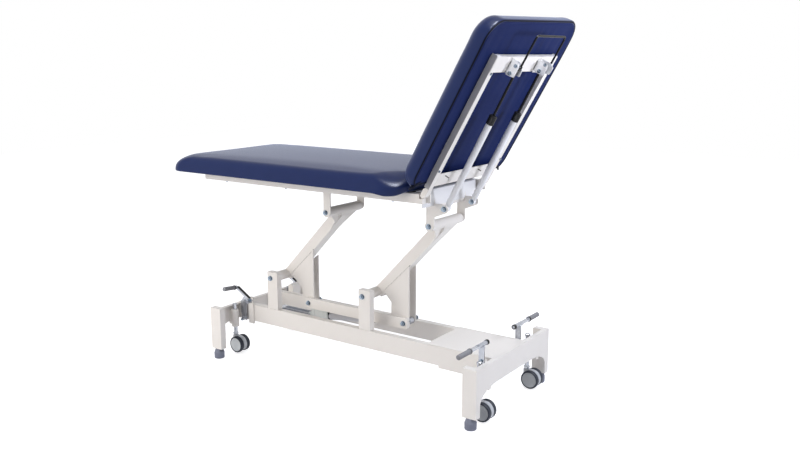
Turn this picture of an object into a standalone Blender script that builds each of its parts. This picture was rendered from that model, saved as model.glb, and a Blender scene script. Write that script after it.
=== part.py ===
"""Treatment table on a lifting base: seat section, raised backrest, gas struts, castors and pedals.

All sizes are in metres. While it is built, X runs from the foot end's outer face to the head end,
Y runs across and Z up from the floor. At the end everything is moved so that the middle of its
footprint is the origin.
"""

import math

import bmesh
import bpy
from mathutils import Matrix, Vector

for old in list(bpy.data.objects):
    bpy.data.objects.remove(old, do_unlink=True)

# Clearances
GAP = 0.0003
RUN = 0.0006
SMOOTH_ANGLE = math.radians(32)

# Base frame
BASE_L = 1.380
BASE_W = 0.600
LEG_X = 0.060
LEG_Y = 0.030
LEG_FOOT = 0.046
LEG_TOP = 0.236
FOOT_PLATE_TOP = 0.221
HEAD_PLATE_TOP = 0.236
WALL = 0.003
PLATE = 0.004
FLANGE_X = 0.020
ARCH_FLAT = 0.150
ARCH_DROP = 0.059
RAIL_OUT = 0.132
RAIL_Y = 0.030
RAIL_LOW = 0.147
RAIL_TOP = 0.224
POST_X = 0.060
POST_BEFORE = 0.020
POST_TOP = 0.396
TRAY_LENGTH = 0.324
TRAY_THICK = 0.003
TRAY_LIP = 0.020
TRAY_INSET = 0.002
FOOT_R = 0.023

# Castors
CASTOR_FOOT_X = 0.033
CASTOR_HEAD_X = 0.047
CASTOR_FOOT_Y = 0.182
CASTOR_HEAD_Y = 0.198
SLEEVE_R = 0.017
SLEEVE_LOW = 0.124
SLEEVE_TOP = 0.205
STEM_R = 0.009
STEM_LOW = 0.0835
STEM_TOP = 0.232
CAP_R = 0.011
CAP_H = 0.011
COLLAR_R = 0.0125
BOSS_R = 0.012
WHEEL_R = 0.038
WHEEL_W = 0.020
WHEEL_LIFT = 0.0065
HOOD_HALF = 0.009
TRAIL = 0.025
FAR_FOOT_SWIVEL = math.radians(120)
AXLE_R = 0.0045

# Pedals
FOOT_PEDAL_PIVOT_X = 0.093
FOOT_PEDAL_PIVOT_Z = 0.248
FOOT_PEDAL_REACH = 0.095
FOOT_PEDAL_TILT = math.radians(149.7)
FOOT_PEDAL_NEAR_Y = 0.143
FOOT_PEDAL_FAR_Y = 0.187
FOOT_PEDAL_DROP = 0.100
HEAD_PEDAL_BACK = 0.061
HEAD_PEDAL_PIVOT_Z = 0.206
HEAD_PEDAL_RISE = 0.077
HEAD_PEDAL_NEAR_Y = 0.157
HEAD_PEDAL_FAR_Y = 0.140
HEAD_BAR_IN = 0.042
HEAD_BAR_OUT = 0.091
HEAD_BAR_R = 0.009
PEDAL_STRAP = 0.024
PEDAL_THICK = 0.006
LUG_R = 0.015
GRIP_R = 0.0085
GRIP_LENGTH = 0.080
GRIP_RISE = 0.008
LUG_BELOW = 0.011
STRIP_START = 1.110
STRIP_LENGTH = 0.115
STRIP_DEEP = 0.010

# Lift
PIVOT_X = 0.2147
PIVOT_Z = 0.3667
PIVOT_SPACING = 0.5187
ARM_LENGTH = 0.4584
ARM_ANGLE = math.radians(46.2)
ARM_Y = 0.057
ARM_DEEP = 0.047
ARM_SAG = 0.0065
LOW_TUBE_R = 0.022
HIGH_TUBE_R = 0.021
CRANK_LENGTH = 0.185
CRANK_ANGLE = math.radians(-36.7)
GUSSET = 0.006
FOOT_GUSSET_SHORT = 0.0133
FOOT_GUSSET_CUT = 0.050
TIE_Y = 0.0187
TIE_HIGH = 0.047
TIE_END = 0.022
ACTUATOR_X = 0.328
ACTUATOR_Z = 0.186
MOUNT_BACK = 0.040
MOUNT_X = 0.030
EYE_HALF = 0.012
EAR_T = 0.006
EAR_R = 0.012
MOTOR_HALF = 0.021
MOTOR_START = 0.036
MOTOR_END = 0.122
MOTOR_BELOW = 0.024
MOTOR_ABOVE = 0.040
NECK_HALF = 0.009
PUSH_EYE_R = 0.015
PUSH_EYE_HALF = 0.014
BARREL_R = 0.019
BARREL_END = 0.385
BARREL_HOLD = 0.040
STROKE = 0.165
ROD_R = 0.011

# Seat section
HANGER_IN = 0.112
HANGER_T = 0.006
HANGER_X = 0.038
HANGER_SHIFT = 0.007
HANGER_BELOW = 0.0155
SEAT_RAIL_OUT = 0.2375
SEAT_RAIL_Y = 0.030
SEAT_RAIL_LOW = 0.8075
SEAT_RAIL_TOP = SEAT_RAIL_LOW + 0.0367
SEAT_RAIL_START = -0.065
SEAT_RAIL_END = 1.101
RAIL_STEP = 0.015
CROSS_TOP = SEAT_RAIL_LOW + 0.020
HEAD_CROSS_LOW = SEAT_RAIL_LOW - 0.0375
CROSS_X = 0.030
SEAT_START = -0.197
SEAT_END = 1.049
BOARD_SHORT = 0.004
PAD_HALF = 0.328
SEAT_PAD_T = 0.085
PAD_ROLL = 0.055
PAD_END_ROLL = 0.080
PAD_CORNER = 0.085
PAD_CROWN = 0.006

# Backrest
HINGE_X = 1.1015
HINGE_Z = SEAT_RAIL_LOW + 0.0325
BACK_ANGLE = math.radians(60.3)
BACK_RAIL_T = 0.0225
BACK_RAIL_IN = 0.2092
BACK_RAIL_START = -0.014
BACK_RAIL_END = 0.577
BACK_PAD_START = 0.036
BACK_PAD_END = 0.714
BACK_PAD_T = 0.089
BACK_PAD_N = 0.0053
LUG_T = 0.008
TOP_PLATE_S = 0.057
CROSS_PLATE_T = 0.0045
LOW_PLATE_START = 0.045
LOW_PLATE_S = 0.055

# Struts and release handle
STRUT_Y = 0.097
STRUT_LOW_X = 1.120
STRUT_LOW_Z = SEAT_RAIL_LOW - 0.0342
STRUT_TOP_S = 0.553
STRUT_TOP_N = -0.035
TUBE_R = 0.0135
TUBE_END = 0.375
STRUT_HOLD = 0.100
STRUT_STROKE = 0.085
STRUT_COLLAR = 0.037
STRUT_COLLAR_R = 0.0165
STRUT_ROD_R = 0.005
STRUT_EYE = 0.009
STRUT_EAR_R = 0.018
STRUT_PIN_R = 0.006
CLEVIS_HALF = 0.016
CLEVIS_T = 0.004
WIRE_R = 0.003
WIRE_START = 0.567
WIRE_END = 0.690
WIRE_N = -0.050


def loop_mesh(rings, closed_ends=True):
    """A closed mesh from rings of the same number of points, each joined to the next."""
    count = len(rings[0])
    points = [point for ring in rings for point in ring]
    faces = []
    for k in range(len(rings) - 1):
        for i in range(count):
            j = (i + 1) % count
            faces.append((k * count + i, k * count + j, (k + 1) * count + j, (k + 1) * count + i))
    if closed_ends:
        faces.append(tuple(reversed(range(count))))
        faces.append(tuple(range((len(rings) - 1) * count, len(rings) * count)))
    return points, faces


def box(x0, x1, y0, y1, z0, z1):
    low = [(x0, y0, z0), (x1, y0, z0), (x1, y1, z0), (x0, y1, z0)]
    high = [(x, y, z1) for x, y, z in low]
    return loop_mesh([low, high])


def prism_y(outline, y0, y1):
    """A flat outline in X and Z, made thick along Y."""
    near = [(x, y0, z) for x, z in outline]
    far = [(x, y1, z) for x, z in outline]
    return loop_mesh([near, far])


def prism_x(outline, x0, x1):
    """A flat outline in Y and Z, made thick along X."""
    near = [(x0, y, z) for y, z in outline]
    far = [(x1, y, z) for y, z in outline]
    return loop_mesh([near, far])


def ring_x(outer, inner, x0, x1):
    """A tube along X between two outlines in Y and Z that have the same number of points."""
    count = len(outer)
    points = []
    for x, outline in ((x0, outer), (x1, outer), (x1, inner), (x0, inner)):
        points += [(x, y, z) for y, z in outline]
    faces = []
    for k in range(4):
        for i in range(count):
            j = (i + 1) % count
            a = k * count
            b = ((k + 1) % 4) * count
            faces.append((a + i, a + j, b + j, b + i))
    return points, faces


def rectangle(y0, y1, z0, z1):
    return [(y0, z0), (y1, z0), (y1, z1), (y0, z1)]


def rod(start, end, radii, segments=20):
    """Round solid from start to end. radii is a list of (share of the length, radius)."""
    start = Vector(start)
    along = Vector(end) - start
    turn = along.to_track_quat("Z", "Y").to_matrix()
    rings = []
    for share, radius in radii:
        centre = start + along * share
        ring = []
        for i in range(segments):
            angle = 2 * math.pi * (i + 0.5) / segments
            across = Vector((radius * math.cos(angle), radius * math.sin(angle), 0))
            ring.append(tuple(centre + turn @ across))
        rings.append(ring)
    return loop_mesh(rings)


def cylinder(start, end, radius, segments=20):
    return rod(start, end, [(0, radius), (1, radius)], segments)


def arc(cx, cz, radius, first, last, steps):
    """Points on an arc, with the angles in degrees."""
    points = []
    for k in range(steps + 1):
        angle = math.radians(first + (last - first) * k / steps)
        points.append((cx + radius * math.cos(angle), cz + radius * math.sin(angle)))
    return points


def placed(shape, matrix):
    points, faces = shape
    return [tuple(matrix @ Vector(point)) for point in points], faces


def shape_object(name, shape):
    mesh = bpy.data.meshes.new(name)
    mesh.from_pydata(shape[0], [], shape[1])
    work = bmesh.new()
    work.from_mesh(mesh)
    bmesh.ops.recalc_face_normals(work, faces=work.faces)
    work.to_mesh(mesh)
    work.free()
    made = bpy.data.objects.new(name, mesh)
    bpy.context.scene.collection.objects.link(made)
    return made


def paint(thing, colour, roughness, metal):
    material = bpy.data.materials.new(thing.name)
    material.use_nodes = True
    shader = material.node_tree.nodes["Principled BSDF"]
    shader.inputs["Base Color"].default_value = (*colour, 1.0)
    shader.inputs["Roughness"].default_value = roughness
    shader.inputs["Metallic"].default_value = metal
    thing.data.materials.clear()
    thing.data.materials.append(material)


IVORY = ((0.80, 0.78, 0.72), 0.42, 0.0)
ZINC = ((0.60, 0.62, 0.66), 0.28, 1.0)
NAVY = ((0.012, 0.022, 0.085), 0.38, 0.0)
RUBBER = ((0.09, 0.10, 0.14), 0.75, 0.0)
GREY = ((0.34, 0.35, 0.36), 0.50, 0.0)
BLACK = ((0.010, 0.010, 0.012), 0.40, 0.0)
WHITE = ((0.82, 0.84, 0.90), 0.35, 0.0)
BOARD = ((0.42, 0.30, 0.18), 0.70, 0.0)


def piece(name, shapes, finish, pivot=None, cuts=()):
    """One node: the union of the shapes less the cuts, with its origin on the pivot."""
    base = shape_object(name, shapes[0])
    helpers = []
    for number, (operation, shape) in enumerate(
        [("UNION", extra) for extra in shapes[1:]] + [("DIFFERENCE", cut) for cut in cuts]
    ):
        helper = shape_object(f"{name}_helper_{number}", shape)
        helper.hide_render = True
        helper.display_type = "WIRE"
        helpers.append(helper)
        change = base.modifiers.new(f"join {number}", "BOOLEAN")
        change.operation = operation
        change.solver = "EXACT"
        change.object = helper
    if helpers:
        bpy.context.view_layer.update()
        graph = bpy.context.evaluated_depsgraph_get()
        joined = bpy.data.meshes.new_from_object(base.evaluated_get(graph))
        base.modifiers.clear()
        base.data = joined
        for helper in helpers:
            bpy.data.objects.remove(helper, do_unlink=True)
    corners = [vertex.co for vertex in base.data.vertices]
    if pivot is None:
        low = [min(corner[k] for corner in corners) for k in range(3)]
        high = [max(corner[k] for corner in corners) for k in range(3)]
        pivot = [(a + b) / 2 for a, b in zip(low, high)]
    base.data.transform(Matrix.Translation(-Vector(pivot)))
    base.location = pivot
    base.data.shade_smooth()
    base.data.set_sharp_from_angle(angle=SMOOTH_ANGLE)
    paint(base, *finish)
    return base


def rounded_outline(half_x, half_y, corner, steps, along_x, along_y):
    """A rounded rectangle about the origin, anticlockwise, with extra points on its straight sides."""
    corner = max(corner, 0.002)
    centres = [
        (half_x - corner, half_y - corner, 0),
        (-half_x + corner, half_y - corner, 90),
        (-half_x + corner, -half_y + corner, 180),
        (half_x - corner, -half_y + corner, 270),
    ]
    points = []
    for k, (cx, cy, first) in enumerate(centres):
        points += arc(cx, cy, corner, first, first + 90, steps)
        nx, ny, turned = centres[(k + 1) % 4]
        ahead = math.radians(turned)
        goal = (nx + corner * math.cos(ahead), ny + corner * math.sin(ahead))
        parts = along_x if k % 2 == 0 else along_y
        here = points[-1]
        for part in range(1, parts):
            share = part / parts
            points.append(tuple(a + (b - a) * share for a, b in zip(here, goal)))
    return points


def cushion(half_x, half_y, thick, corner, end_roll, along_x, along_y):
    """A pad about the origin with drawn-in lower sides, a rolled upper edge and a crowned top."""
    side = thick * 0.26
    profile = [(0.008, 0.0), (0.003, 0.003), (0.0008, 0.009), (0.0, side * 0.75), (0.0, side)]
    rise = thick - PAD_CROWN - side
    for k in range(1, 6):
        angle = math.radians(18 * k)
        profile.append((PAD_ROLL * (1 - math.cos(angle)), side + rise * math.sin(angle)))
    rings = []
    for inset, height in profile:
        inset_x = inset * end_roll / PAD_ROLL if height > side else inset
        radius = corner - inset * 0.8
        outline = rounded_outline(half_x - inset_x, half_y - inset, radius, 5, along_x, along_y)
        rings.append([(x, y, height) for x, y in outline])
    last = rings[-1]
    for share in (0.86, 0.66, 0.40, 0.14):
        height = thick - PAD_CROWN * share * share
        rings.append([(x * share, y * share, height) for x, y, _ in last])
    return loop_mesh(rings)


# Base: two arched end frames, two side rails, four posts and a cover tray
def end_frame(name, outer, inward, plate_top, castor_x, castor_y):
    half = BASE_W / 2
    inner = half - LEG_Y + 0.001
    spring = RAIL_LOW - ARCH_DROP
    arch = []
    for k in range(9):
        angle = math.radians(90 * k / 8)
        y = ARCH_FLAT + (inner - ARCH_FLAT) * math.cos(angle)
        arch.append((y, spring + ARCH_DROP * math.sin(angle)))
    outline = [(-half, LEG_FOOT), (-inner, LEG_FOOT)]
    outline += [(-y, z) for y, z in arch]
    outline += list(reversed(arch))
    outline += [(inner, LEG_FOOT), (half, LEG_FOOT), (half, plate_top), (-half, plate_top)]

    def span(near, far):
        return sorted((outer + inward * near, outer + inward * far))

    shapes = [prism_x(outline, *span(0, PLATE))]
    cuts = []
    spans = [(-half + 0.001, half - 0.001)]
    if plate_top - WALL < RAIL_TOP + TRAY_THICK + GAP:
        inner_end = RAIL_OUT - RAIL_Y - GAP
        outer_end = half - 0.001
        rail_side = RAIL_OUT + GAP
        spans = [(-outer_end, -rail_side), (-inner_end, inner_end), (rail_side, outer_end)]
    for across in spans:
        shapes.append(box(*span(0, FLANGE_X), *across, plate_top - WALL, plate_top))
    for sign in (-1, 1):
        legs = sorted((sign * half, sign * (half - LEG_Y)))
        shapes.append(box(*span(0, LEG_X), *legs, LEG_FOOT, LEG_TOP))
        hollow = sorted((sign * (half - WALL), sign * (half - LEG_Y + WALL)))
        cuts.append(box(*span(PLATE, LEG_X - WALL), *hollow, LEG_FOOT - 0.01, LEG_TOP - WALL * 2))
        y = sign * castor_y
        web = (y - SLEEVE_R / 2, y + SLEEVE_R / 2, SLEEVE_LOW + 0.008, SLEEVE_TOP - 0.008)
        shapes.append(box(*span(0.001, abs(castor_x - outer)), *web))
        shapes.append(cylinder((castor_x, y, SLEEVE_LOW), (castor_x, y, SLEEVE_TOP), SLEEVE_R))
        low = (castor_x, y, SLEEVE_LOW - 0.01)
        cuts.append(cylinder(low, (castor_x, y, SLEEVE_TOP + 0.01), STEM_R + RUN))
    return piece(name, shapes, IVORY, None, cuts)


foot_castor = CASTOR_FOOT_X
head_castor = BASE_L - CASTOR_HEAD_X
end_frame("end_frame_foot", 0.0, 1, FOOT_PLATE_TOP, foot_castor, CASTOR_FOOT_Y)
end_frame("end_frame_head", BASE_L, -1, HEAD_PLATE_TOP, head_castor, CASTOR_HEAD_Y)

head_pedal_x = BASE_L - HEAD_PEDAL_BACK
rail_in = RAIL_OUT - RAIL_Y
foot_pedal_y = {"near": FOOT_PEDAL_NEAR_Y, "far": FOOT_PEDAL_FAR_Y}
head_pedal_y = {"near": HEAD_PEDAL_NEAR_Y, "far": HEAD_PEDAL_FAR_Y}
for side, sign in (("near", -1), ("far", 1)):
    outer = rectangle(*sorted((sign * RAIL_OUT, sign * rail_in)), RAIL_LOW, RAIL_TOP)
    hollow = sorted((sign * (RAIL_OUT - WALL), sign * (rail_in + WALL)))
    inner = rectangle(*hollow, RAIL_LOW + WALL, RAIL_TOP - WALL)
    tube = ring_x(outer, inner, PLATE + GAP, BASE_L - PLATE - GAP)
    lugs = []
    for x, z, low, reach in (
        (FOOT_PEDAL_PIVOT_X, FOOT_PEDAL_PIVOT_Z, RAIL_LOW - LUG_BELOW, foot_pedal_y[side]),
        (head_pedal_x, HEAD_PEDAL_PIVOT_Z, RAIL_LOW + LUG_BELOW, head_pedal_y[side]),
    ):
        across = sorted((sign * (RAIL_OUT - 0.001), sign * (reach - PEDAL_THICK / 2 - GAP)))
        outline = [(x - LUG_R, low), (x + LUG_R, low)] + arc(x, z, LUG_R, 0, 180, 8)
        lugs.append(prism_y(outline, *across))
    across = sorted((sign * RAIL_OUT, sign * (RAIL_OUT - WALL * 2)))
    strip_end = STRIP_START + STRIP_LENGTH
    strip = box(STRIP_START, strip_end, *across, RAIL_LOW - STRIP_DEEP, RAIL_LOW + WALL / 2)
    piece(f"side_rail_{side}", [tube] + lugs + [strip], IVORY)

for end, x in (("foot", PIVOT_X), ("head", PIVOT_X + PIVOT_SPACING)):
    for side, sign in (("near", -1), ("far", 1)):
        ys = sorted((sign * RAIL_OUT, sign * rail_in))
        inner = sorted((sign * (RAIL_OUT - WALL), sign * (rail_in + WALL)))
        x0 = x - POST_BEFORE
        x1 = x0 + POST_X
        post = box(x0, x1, *ys, RAIL_TOP + GAP, POST_TOP)
        hollow = box(x0 + WALL, x1 - WALL, *inner, RAIL_TOP - 0.01, POST_TOP - WALL)
        piece(f"post_{end}_{side}", [post], IVORY, None, [hollow])

tray_x1 = BASE_L - PLATE - GAP
tray_x0 = tray_x1 - TRAY_LENGTH
tray_z = RAIL_TOP + GAP
tray_y = RAIL_OUT - TRAY_INSET
cover = box(tray_x0, tray_x1, -tray_y, tray_y, tray_z, tray_z + TRAY_THICK)
lip_y = rail_in - GAP * 2
lip = box(tray_x0, tray_x0 + TRAY_THICK, -lip_y, lip_y, tray_z - TRAY_LIP, tray_z + TRAY_THICK / 2)
piece("cover_tray", [cover, lip], IVORY)

cross_y = rail_in - GAP
mount_x = PIVOT_X - POST_BEFORE - MOUNT_BACK
mount_end = EYE_HALF + GAP + EAR_T
mount = [box(mount_x, mount_x + MOUNT_X, -cross_y, mount_end, RAIL_LOW + WALL, ACTUATOR_Z + EAR_R)]
for sign in (-1, 1):
    ears = sorted((sign * (EYE_HALF + GAP), sign * (EYE_HALF + GAP + EAR_T)))
    tip = arc(ACTUATOR_X, ACTUATOR_Z, EAR_R, 90, -90, 8)
    root = mount_x + MOUNT_X / 2
    outline = [(root, ACTUATOR_Z + EAR_R)] + tip + [(root, ACTUATOR_Z - EAR_R)]
    mount.append(prism_y(outline, *ears))
piece("actuator_mount", mount, IVORY)

# Feet, castors and pedals at the four corners
CORNERS = (
    ("foot_near", LEG_X / 2, foot_castor, -CASTOR_FOOT_Y, -1, 0),
    ("foot_far", LEG_X / 2, foot_castor, CASTOR_FOOT_Y, 1, FAR_FOOT_SWIVEL),
    ("head_near", BASE_L - LEG_X / 2, head_castor, -CASTOR_HEAD_Y, -1, 0),
    ("head_far", BASE_L - LEG_X / 2, head_castor, CASTOR_HEAD_Y, 1, 0),
)
wheel_z = WHEEL_R + WHEEL_LIFT
for corner, leg_x, castor_x, y, sign, swivel in CORNERS:
    leg_y = sign * (BASE_W - LEG_Y) / 2
    shape = rod(
        (leg_x, leg_y, 0), (leg_x, leg_y, LEG_FOOT - GAP),
        [(0, FOOT_R * 0.90), (0.08, FOOT_R), (0.72, FOOT_R), (0.90, FOOT_R * 0.86), (1, FOOT_R * 0.60)],
        16,
    )
    piece(f"rubber_foot_{corner}", [shape], RUBBER)

    length = STEM_TOP - STEM_LOW
    cap = 1 - CAP_H / length
    shape = rod(
        (castor_x, y, STEM_LOW), (castor_x, y, STEM_TOP),
        [
            (0, STEM_R), (0.03, STEM_R), (0.032, COLLAR_R), (0.07, COLLAR_R), (0.072, STEM_R),
            (cap, STEM_R), (cap + 0.001, CAP_R), (0.985, CAP_R), (1, CAP_R * 0.8),
        ],
        16,
    )
    piece(f"castor_stem_{corner}", [shape], ZINC, (castor_x, y, STEM_LOW))

    wheel_x = castor_x + TRAIL
    stem = Vector((castor_x, y, 0))
    swung = Matrix.Translation(stem) @ Matrix.Rotation(swivel, 4, "Z") @ Matrix.Translation(-stem)
    hood = (y - HOOD_HALF, y + HOOD_HALF)
    dome = cylinder((wheel_x, hood[0], wheel_z), (wheel_x, hood[1], wheel_z), WHEEL_R - 0.004, 24)
    neck = box(castor_x - HOOD_HALF, wheel_x, *hood, wheel_z - 0.006, STEM_LOW - 0.001)
    boss_low = wheel_z + math.sqrt(WHEEL_R**2 - (TRAIL - BOSS_R) ** 2) + RUN
    boss = cylinder((castor_x, y, boss_low), (castor_x, y, STEM_LOW - GAP), BOSS_R, 16)
    hole = cylinder((wheel_x, y - 0.02, wheel_z), (wheel_x, y + 0.02, wheel_z), AXLE_R + RUN, 16)
    hood_shapes = [placed(shape, swung) for shape in (dome, neck, boss)]
    piece(f"castor_hood_{corner}", hood_shapes, GREY, (castor_x, y, wheel_z), [placed(hole, swung)])

    inside = HOOD_HALF + RUN
    outside = inside + WHEEL_W
    ends = (y - inside - 0.004, y + inside + 0.004)
    axle = cylinder((wheel_x, ends[0], wheel_z), (wheel_x, ends[1], wheel_z), AXLE_R, 16)
    wheels = []
    for turned in (-1, 1):
        first = (wheel_x, y + turned * inside, wheel_z)
        second = (wheel_x, y + turned * outside, wheel_z)
        edge = [(0, WHEEL_R - 0.001), (0.1, WHEEL_R), (0.9, WHEEL_R), (1, WHEEL_R - 0.003)]
        wheels.append(rod(first, second, edge, 28))
    wheel_shapes = [placed(shape, swung) for shape in [axle] + wheels]
    piece(f"castor_wheels_{corner}", wheel_shapes, RUBBER, swung @ Vector((wheel_x, y, wheel_z)))

for side, sign in (("near", -1), ("far", 1)):
    y = sign * foot_pedal_y[side]
    plate = (y - PEDAL_THICK / 2, y + PEDAL_THICK / 2)
    pivot = Vector((FOOT_PEDAL_PIVOT_X, 0, FOOT_PEDAL_PIVOT_Z))
    reach = Vector((math.cos(FOOT_PEDAL_TILT), 0, math.sin(FOOT_PEDAL_TILT)))
    aside = Vector((-reach.z, 0, reach.x))
    tip = pivot + reach * FOOT_PEDAL_REACH
    bar = []
    for share, across in ((-0.010, -0.008), (-0.010, 0.008), (1, 0.008), (1, -0.008)):
        base = tip if share == 1 else pivot + reach * share
        point = base + aside * across
        bar.append((point.x, point.z))
    drop = pivot.z - FOOT_PEDAL_DROP
    wide = 0.060 if side == "near" else 0.040
    web = [
        (pivot.x + 0.008, pivot.z - 0.012), (pivot.x - 0.030, pivot.z + 0.022),
        (pivot.x - wide, pivot.z - 0.016), (pivot.x - wide + 0.004, drop), (pivot.x - 0.024, drop),
        (pivot.x - 0.022, pivot.z - 0.020),
    ]
    ends = (y + sign * 0.001, y + sign * (PEDAL_THICK / 2 + GRIP_LENGTH))
    handle = cylinder((tip.x, ends[0], tip.z), (tip.x, ends[1], tip.z + GRIP_RISE), GRIP_R)
    link_x = pivot.x - 0.032
    link_z = drop + 0.008
    link = cylinder((link_x, y + sign * 0.001, link_z), (link_x, y + sign * 0.022, link_z), 0.007, 12)
    shapes = [prism_y(bar, *plate), prism_y(web, plate[0] + 0.001, plate[1] - 0.001), handle, link]
    piece(f"pedal_foot_{side}", shapes, ZINC, (pivot.x, y, pivot.z))

    y = sign * head_pedal_y[side]
    x = head_pedal_x
    z = HEAD_PEDAL_PIVOT_Z
    high = z + HEAD_PEDAL_RISE
    plate = (y - PEDAL_THICK / 2, y + PEDAL_THICK / 2)
    half = PEDAL_STRAP / 2
    strap = prism_y(arc(x, z, half, 180, 360, 8) + [(x + half, high), (x - half, high)], *plate)
    inside = y - sign * HEAD_BAR_IN
    outside = y + sign * HEAD_BAR_OUT
    middle = y + sign * 0.028
    tube = cylinder((x, inside, high), (x, middle, high), HEAD_BAR_R)
    reach = sorted((middle - sign * 0.004, outside))
    flat = box(x - HEAD_BAR_R * 0.9, x + HEAD_BAR_R * 0.9, *reach, high - 0.003, high + 0.004)
    far = outside + sign * GRIP_LENGTH
    handle = cylinder((x, outside - sign * 0.006, high), (x, far, high), GRIP_R)
    piece(f"pedal_head_{side}", [strap, tube, flat, handle], ZINC, (x, y, z))

# Lift: two cranked arms, the tie bar that joins their cranks, and the actuator
crank_x = CRANK_LENGTH * math.cos(CRANK_ANGLE)
crank_z = CRANK_LENGTH * math.sin(CRANK_ANGLE)
arm_x = math.cos(ARM_ANGLE)
arm_z = math.sin(ARM_ANGLE)


def in_arm(px, along, across):
    """A point in X and Z, from distances along and across an arm that turns about px."""
    return px + arm_x * along - arm_z * across, PIVOT_Z + arm_z * along + arm_x * across


for end, px in (("foot", PIVOT_X), ("head", PIVOT_X + PIVOT_SPACING)):
    low_y = rail_in - GAP
    high_y = HANGER_IN - GAP
    top_x, top_z = in_arm(px, ARM_LENGTH, 0)
    half = ARM_DEEP / 2
    under = -half - ARM_SAG
    over = half - ARM_SAG
    beam = [in_arm(px, 0.0, under), in_arm(px, ARM_LENGTH - 0.012, under)]
    beam += [(top_x + HIGH_TUBE_R * 0.96, top_z - 0.002), (top_x, top_z)]
    beam += [in_arm(px, ARM_LENGTH, over), in_arm(px, 0.0, over)]
    shapes = [prism_y(beam, -ARM_Y / 2, ARM_Y / 2)]
    shapes.append(cylinder((px, -low_y, PIVOT_Z), (px, low_y, PIVOT_Z), LOW_TUBE_R, 24))
    shapes.append(cylinder((top_x, -high_y, top_z), (top_x, high_y, top_z), HIGH_TUBE_R, 24))
    edge = crank_x + 0.0155
    outline = [
        (px + 0.030, PIVOT_Z + 0.010),
        (px + crank_x - 0.030, PIVOT_Z + crank_z + 0.031),
        (px + crank_x - 0.024, PIVOT_Z + crank_z - 0.007),
        (px + crank_x - 0.008, PIVOT_Z + crank_z - 0.020),
        (px + crank_x + 0.008, PIVOT_Z + crank_z - 0.018),
        (px + edge, PIVOT_Z + crank_z - 0.006),
        (px + edge, PIVOT_Z + edge * math.tan(ARM_ANGLE) - half * 0.9),
    ]
    shapes.append(prism_y(outline, -ARM_Y / 2, -ARM_Y / 2 + GUSSET))
    if end == "foot":
        right = px + edge - FOOT_GUSSET_SHORT
        outline[4] = (right - 0.004, outline[4][1])
        outline[5] = (right, outline[5][1])
        outline[6] = (right, outline[6][1] - FOOT_GUSSET_CUT)
    shapes.append(prism_y(outline, ARM_Y / 2 - GUSSET, ARM_Y / 2))
    flare = []
    widths = (ARM_Y / 2 - 0.002, ARM_Y / 2 + 0.0165, HANGER_IN - 0.014)
    for back, sink, wide in zip((0.105, 0.045, 0.0), (under, under + 0.002, -0.016), widths):
        ring = []
        for y, across in ((-wide, sink), (wide, sink), (wide, sink + 0.008), (-wide, sink + 0.008)):
            fx, fz = in_arm(px, ARM_LENGTH - back, across)
            ring.append((fx, y, fz))
        flare.append(ring)
    shapes.append(loop_mesh(flare))
    piece(f"lift_arm_{end}", shapes, IVORY, (px, 0, PIVOT_Z))

tie_z = PIVOT_Z + crank_z
tie_x0 = PIVOT_X + crank_x
tie_x1 = tie_x0 + PIVOT_SPACING
half = TIE_HIGH / 2
outline = arc(tie_x1 + TIE_END - 0.012, tie_z + half - 0.012, 0.012, 0, 90, 3)
outline += arc(tie_x0 - TIE_END + 0.012, tie_z + half - 0.012, 0.012, 90, 180, 3)
outline += arc(tie_x0 - TIE_END + 0.012, tie_z - half + 0.012, 0.012, 180, 270, 3)
outline += arc(tie_x1 + TIE_END - 0.012, tie_z - half + 0.012, 0.012, 270, 360, 3)
tie_y = -ARM_Y / 2 - GAP
piece("tie_bar", [prism_y(outline, tie_y - TIE_Y, tie_y)], IVORY, (tie_x0, tie_y, tie_z))

push = Vector((tie_x1 - ACTUATOR_X, 0, tie_z - ACTUATOR_Z))
push_length = push.length
tilt = math.atan2(push.z, push.x)
lie = Matrix.Translation((ACTUATOR_X, 0, ACTUATOR_Z)) @ Matrix.Rotation(-tilt, 4, "Y")
eye = cylinder((0, -EYE_HALF, 0), (0, EYE_HALF, 0), EAR_R - 0.001)
neck = box(0, MOTOR_START + NECK_HALF, -NECK_HALF, NECK_HALF, -NECK_HALF, NECK_HALF)
motor = box(MOTOR_START, MOTOR_END, -MOTOR_HALF, MOTOR_HALF, -MOTOR_BELOW, MOTOR_ABOVE)
barrel = cylinder((MOTOR_END - BARREL_R, 0, 0), (BARREL_END, 0, 0), BARREL_R)
cap = cylinder((BARREL_END - BARREL_R, 0, 0), (BARREL_END, 0, 0), BARREL_R + WALL / 2)
bore = cylinder((BARREL_END - BARREL_HOLD - STROKE, 0, 0), (BARREL_END + WALL, 0, 0), ROD_R + RUN)
shapes = [placed(shape, lie) for shape in (motor, neck, eye, barrel, cap)]
piece("actuator_body", shapes, GREY, (ACTUATOR_X, 0, ACTUATOR_Z), [placed(bore, lie)])
shaft = cylinder((BARREL_END - BARREL_HOLD, 0, 0), (push_length - PUSH_EYE_R / 2, 0, 0), ROD_R)
eye = cylinder((push_length, -PUSH_EYE_HALF, 0), (push_length, PUSH_EYE_HALF, 0), PUSH_EYE_R)
piece("actuator_rod", [placed(shaft, lie), placed(eye, lie)], ZINC, (tie_x1, 0, tie_z))

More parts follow.
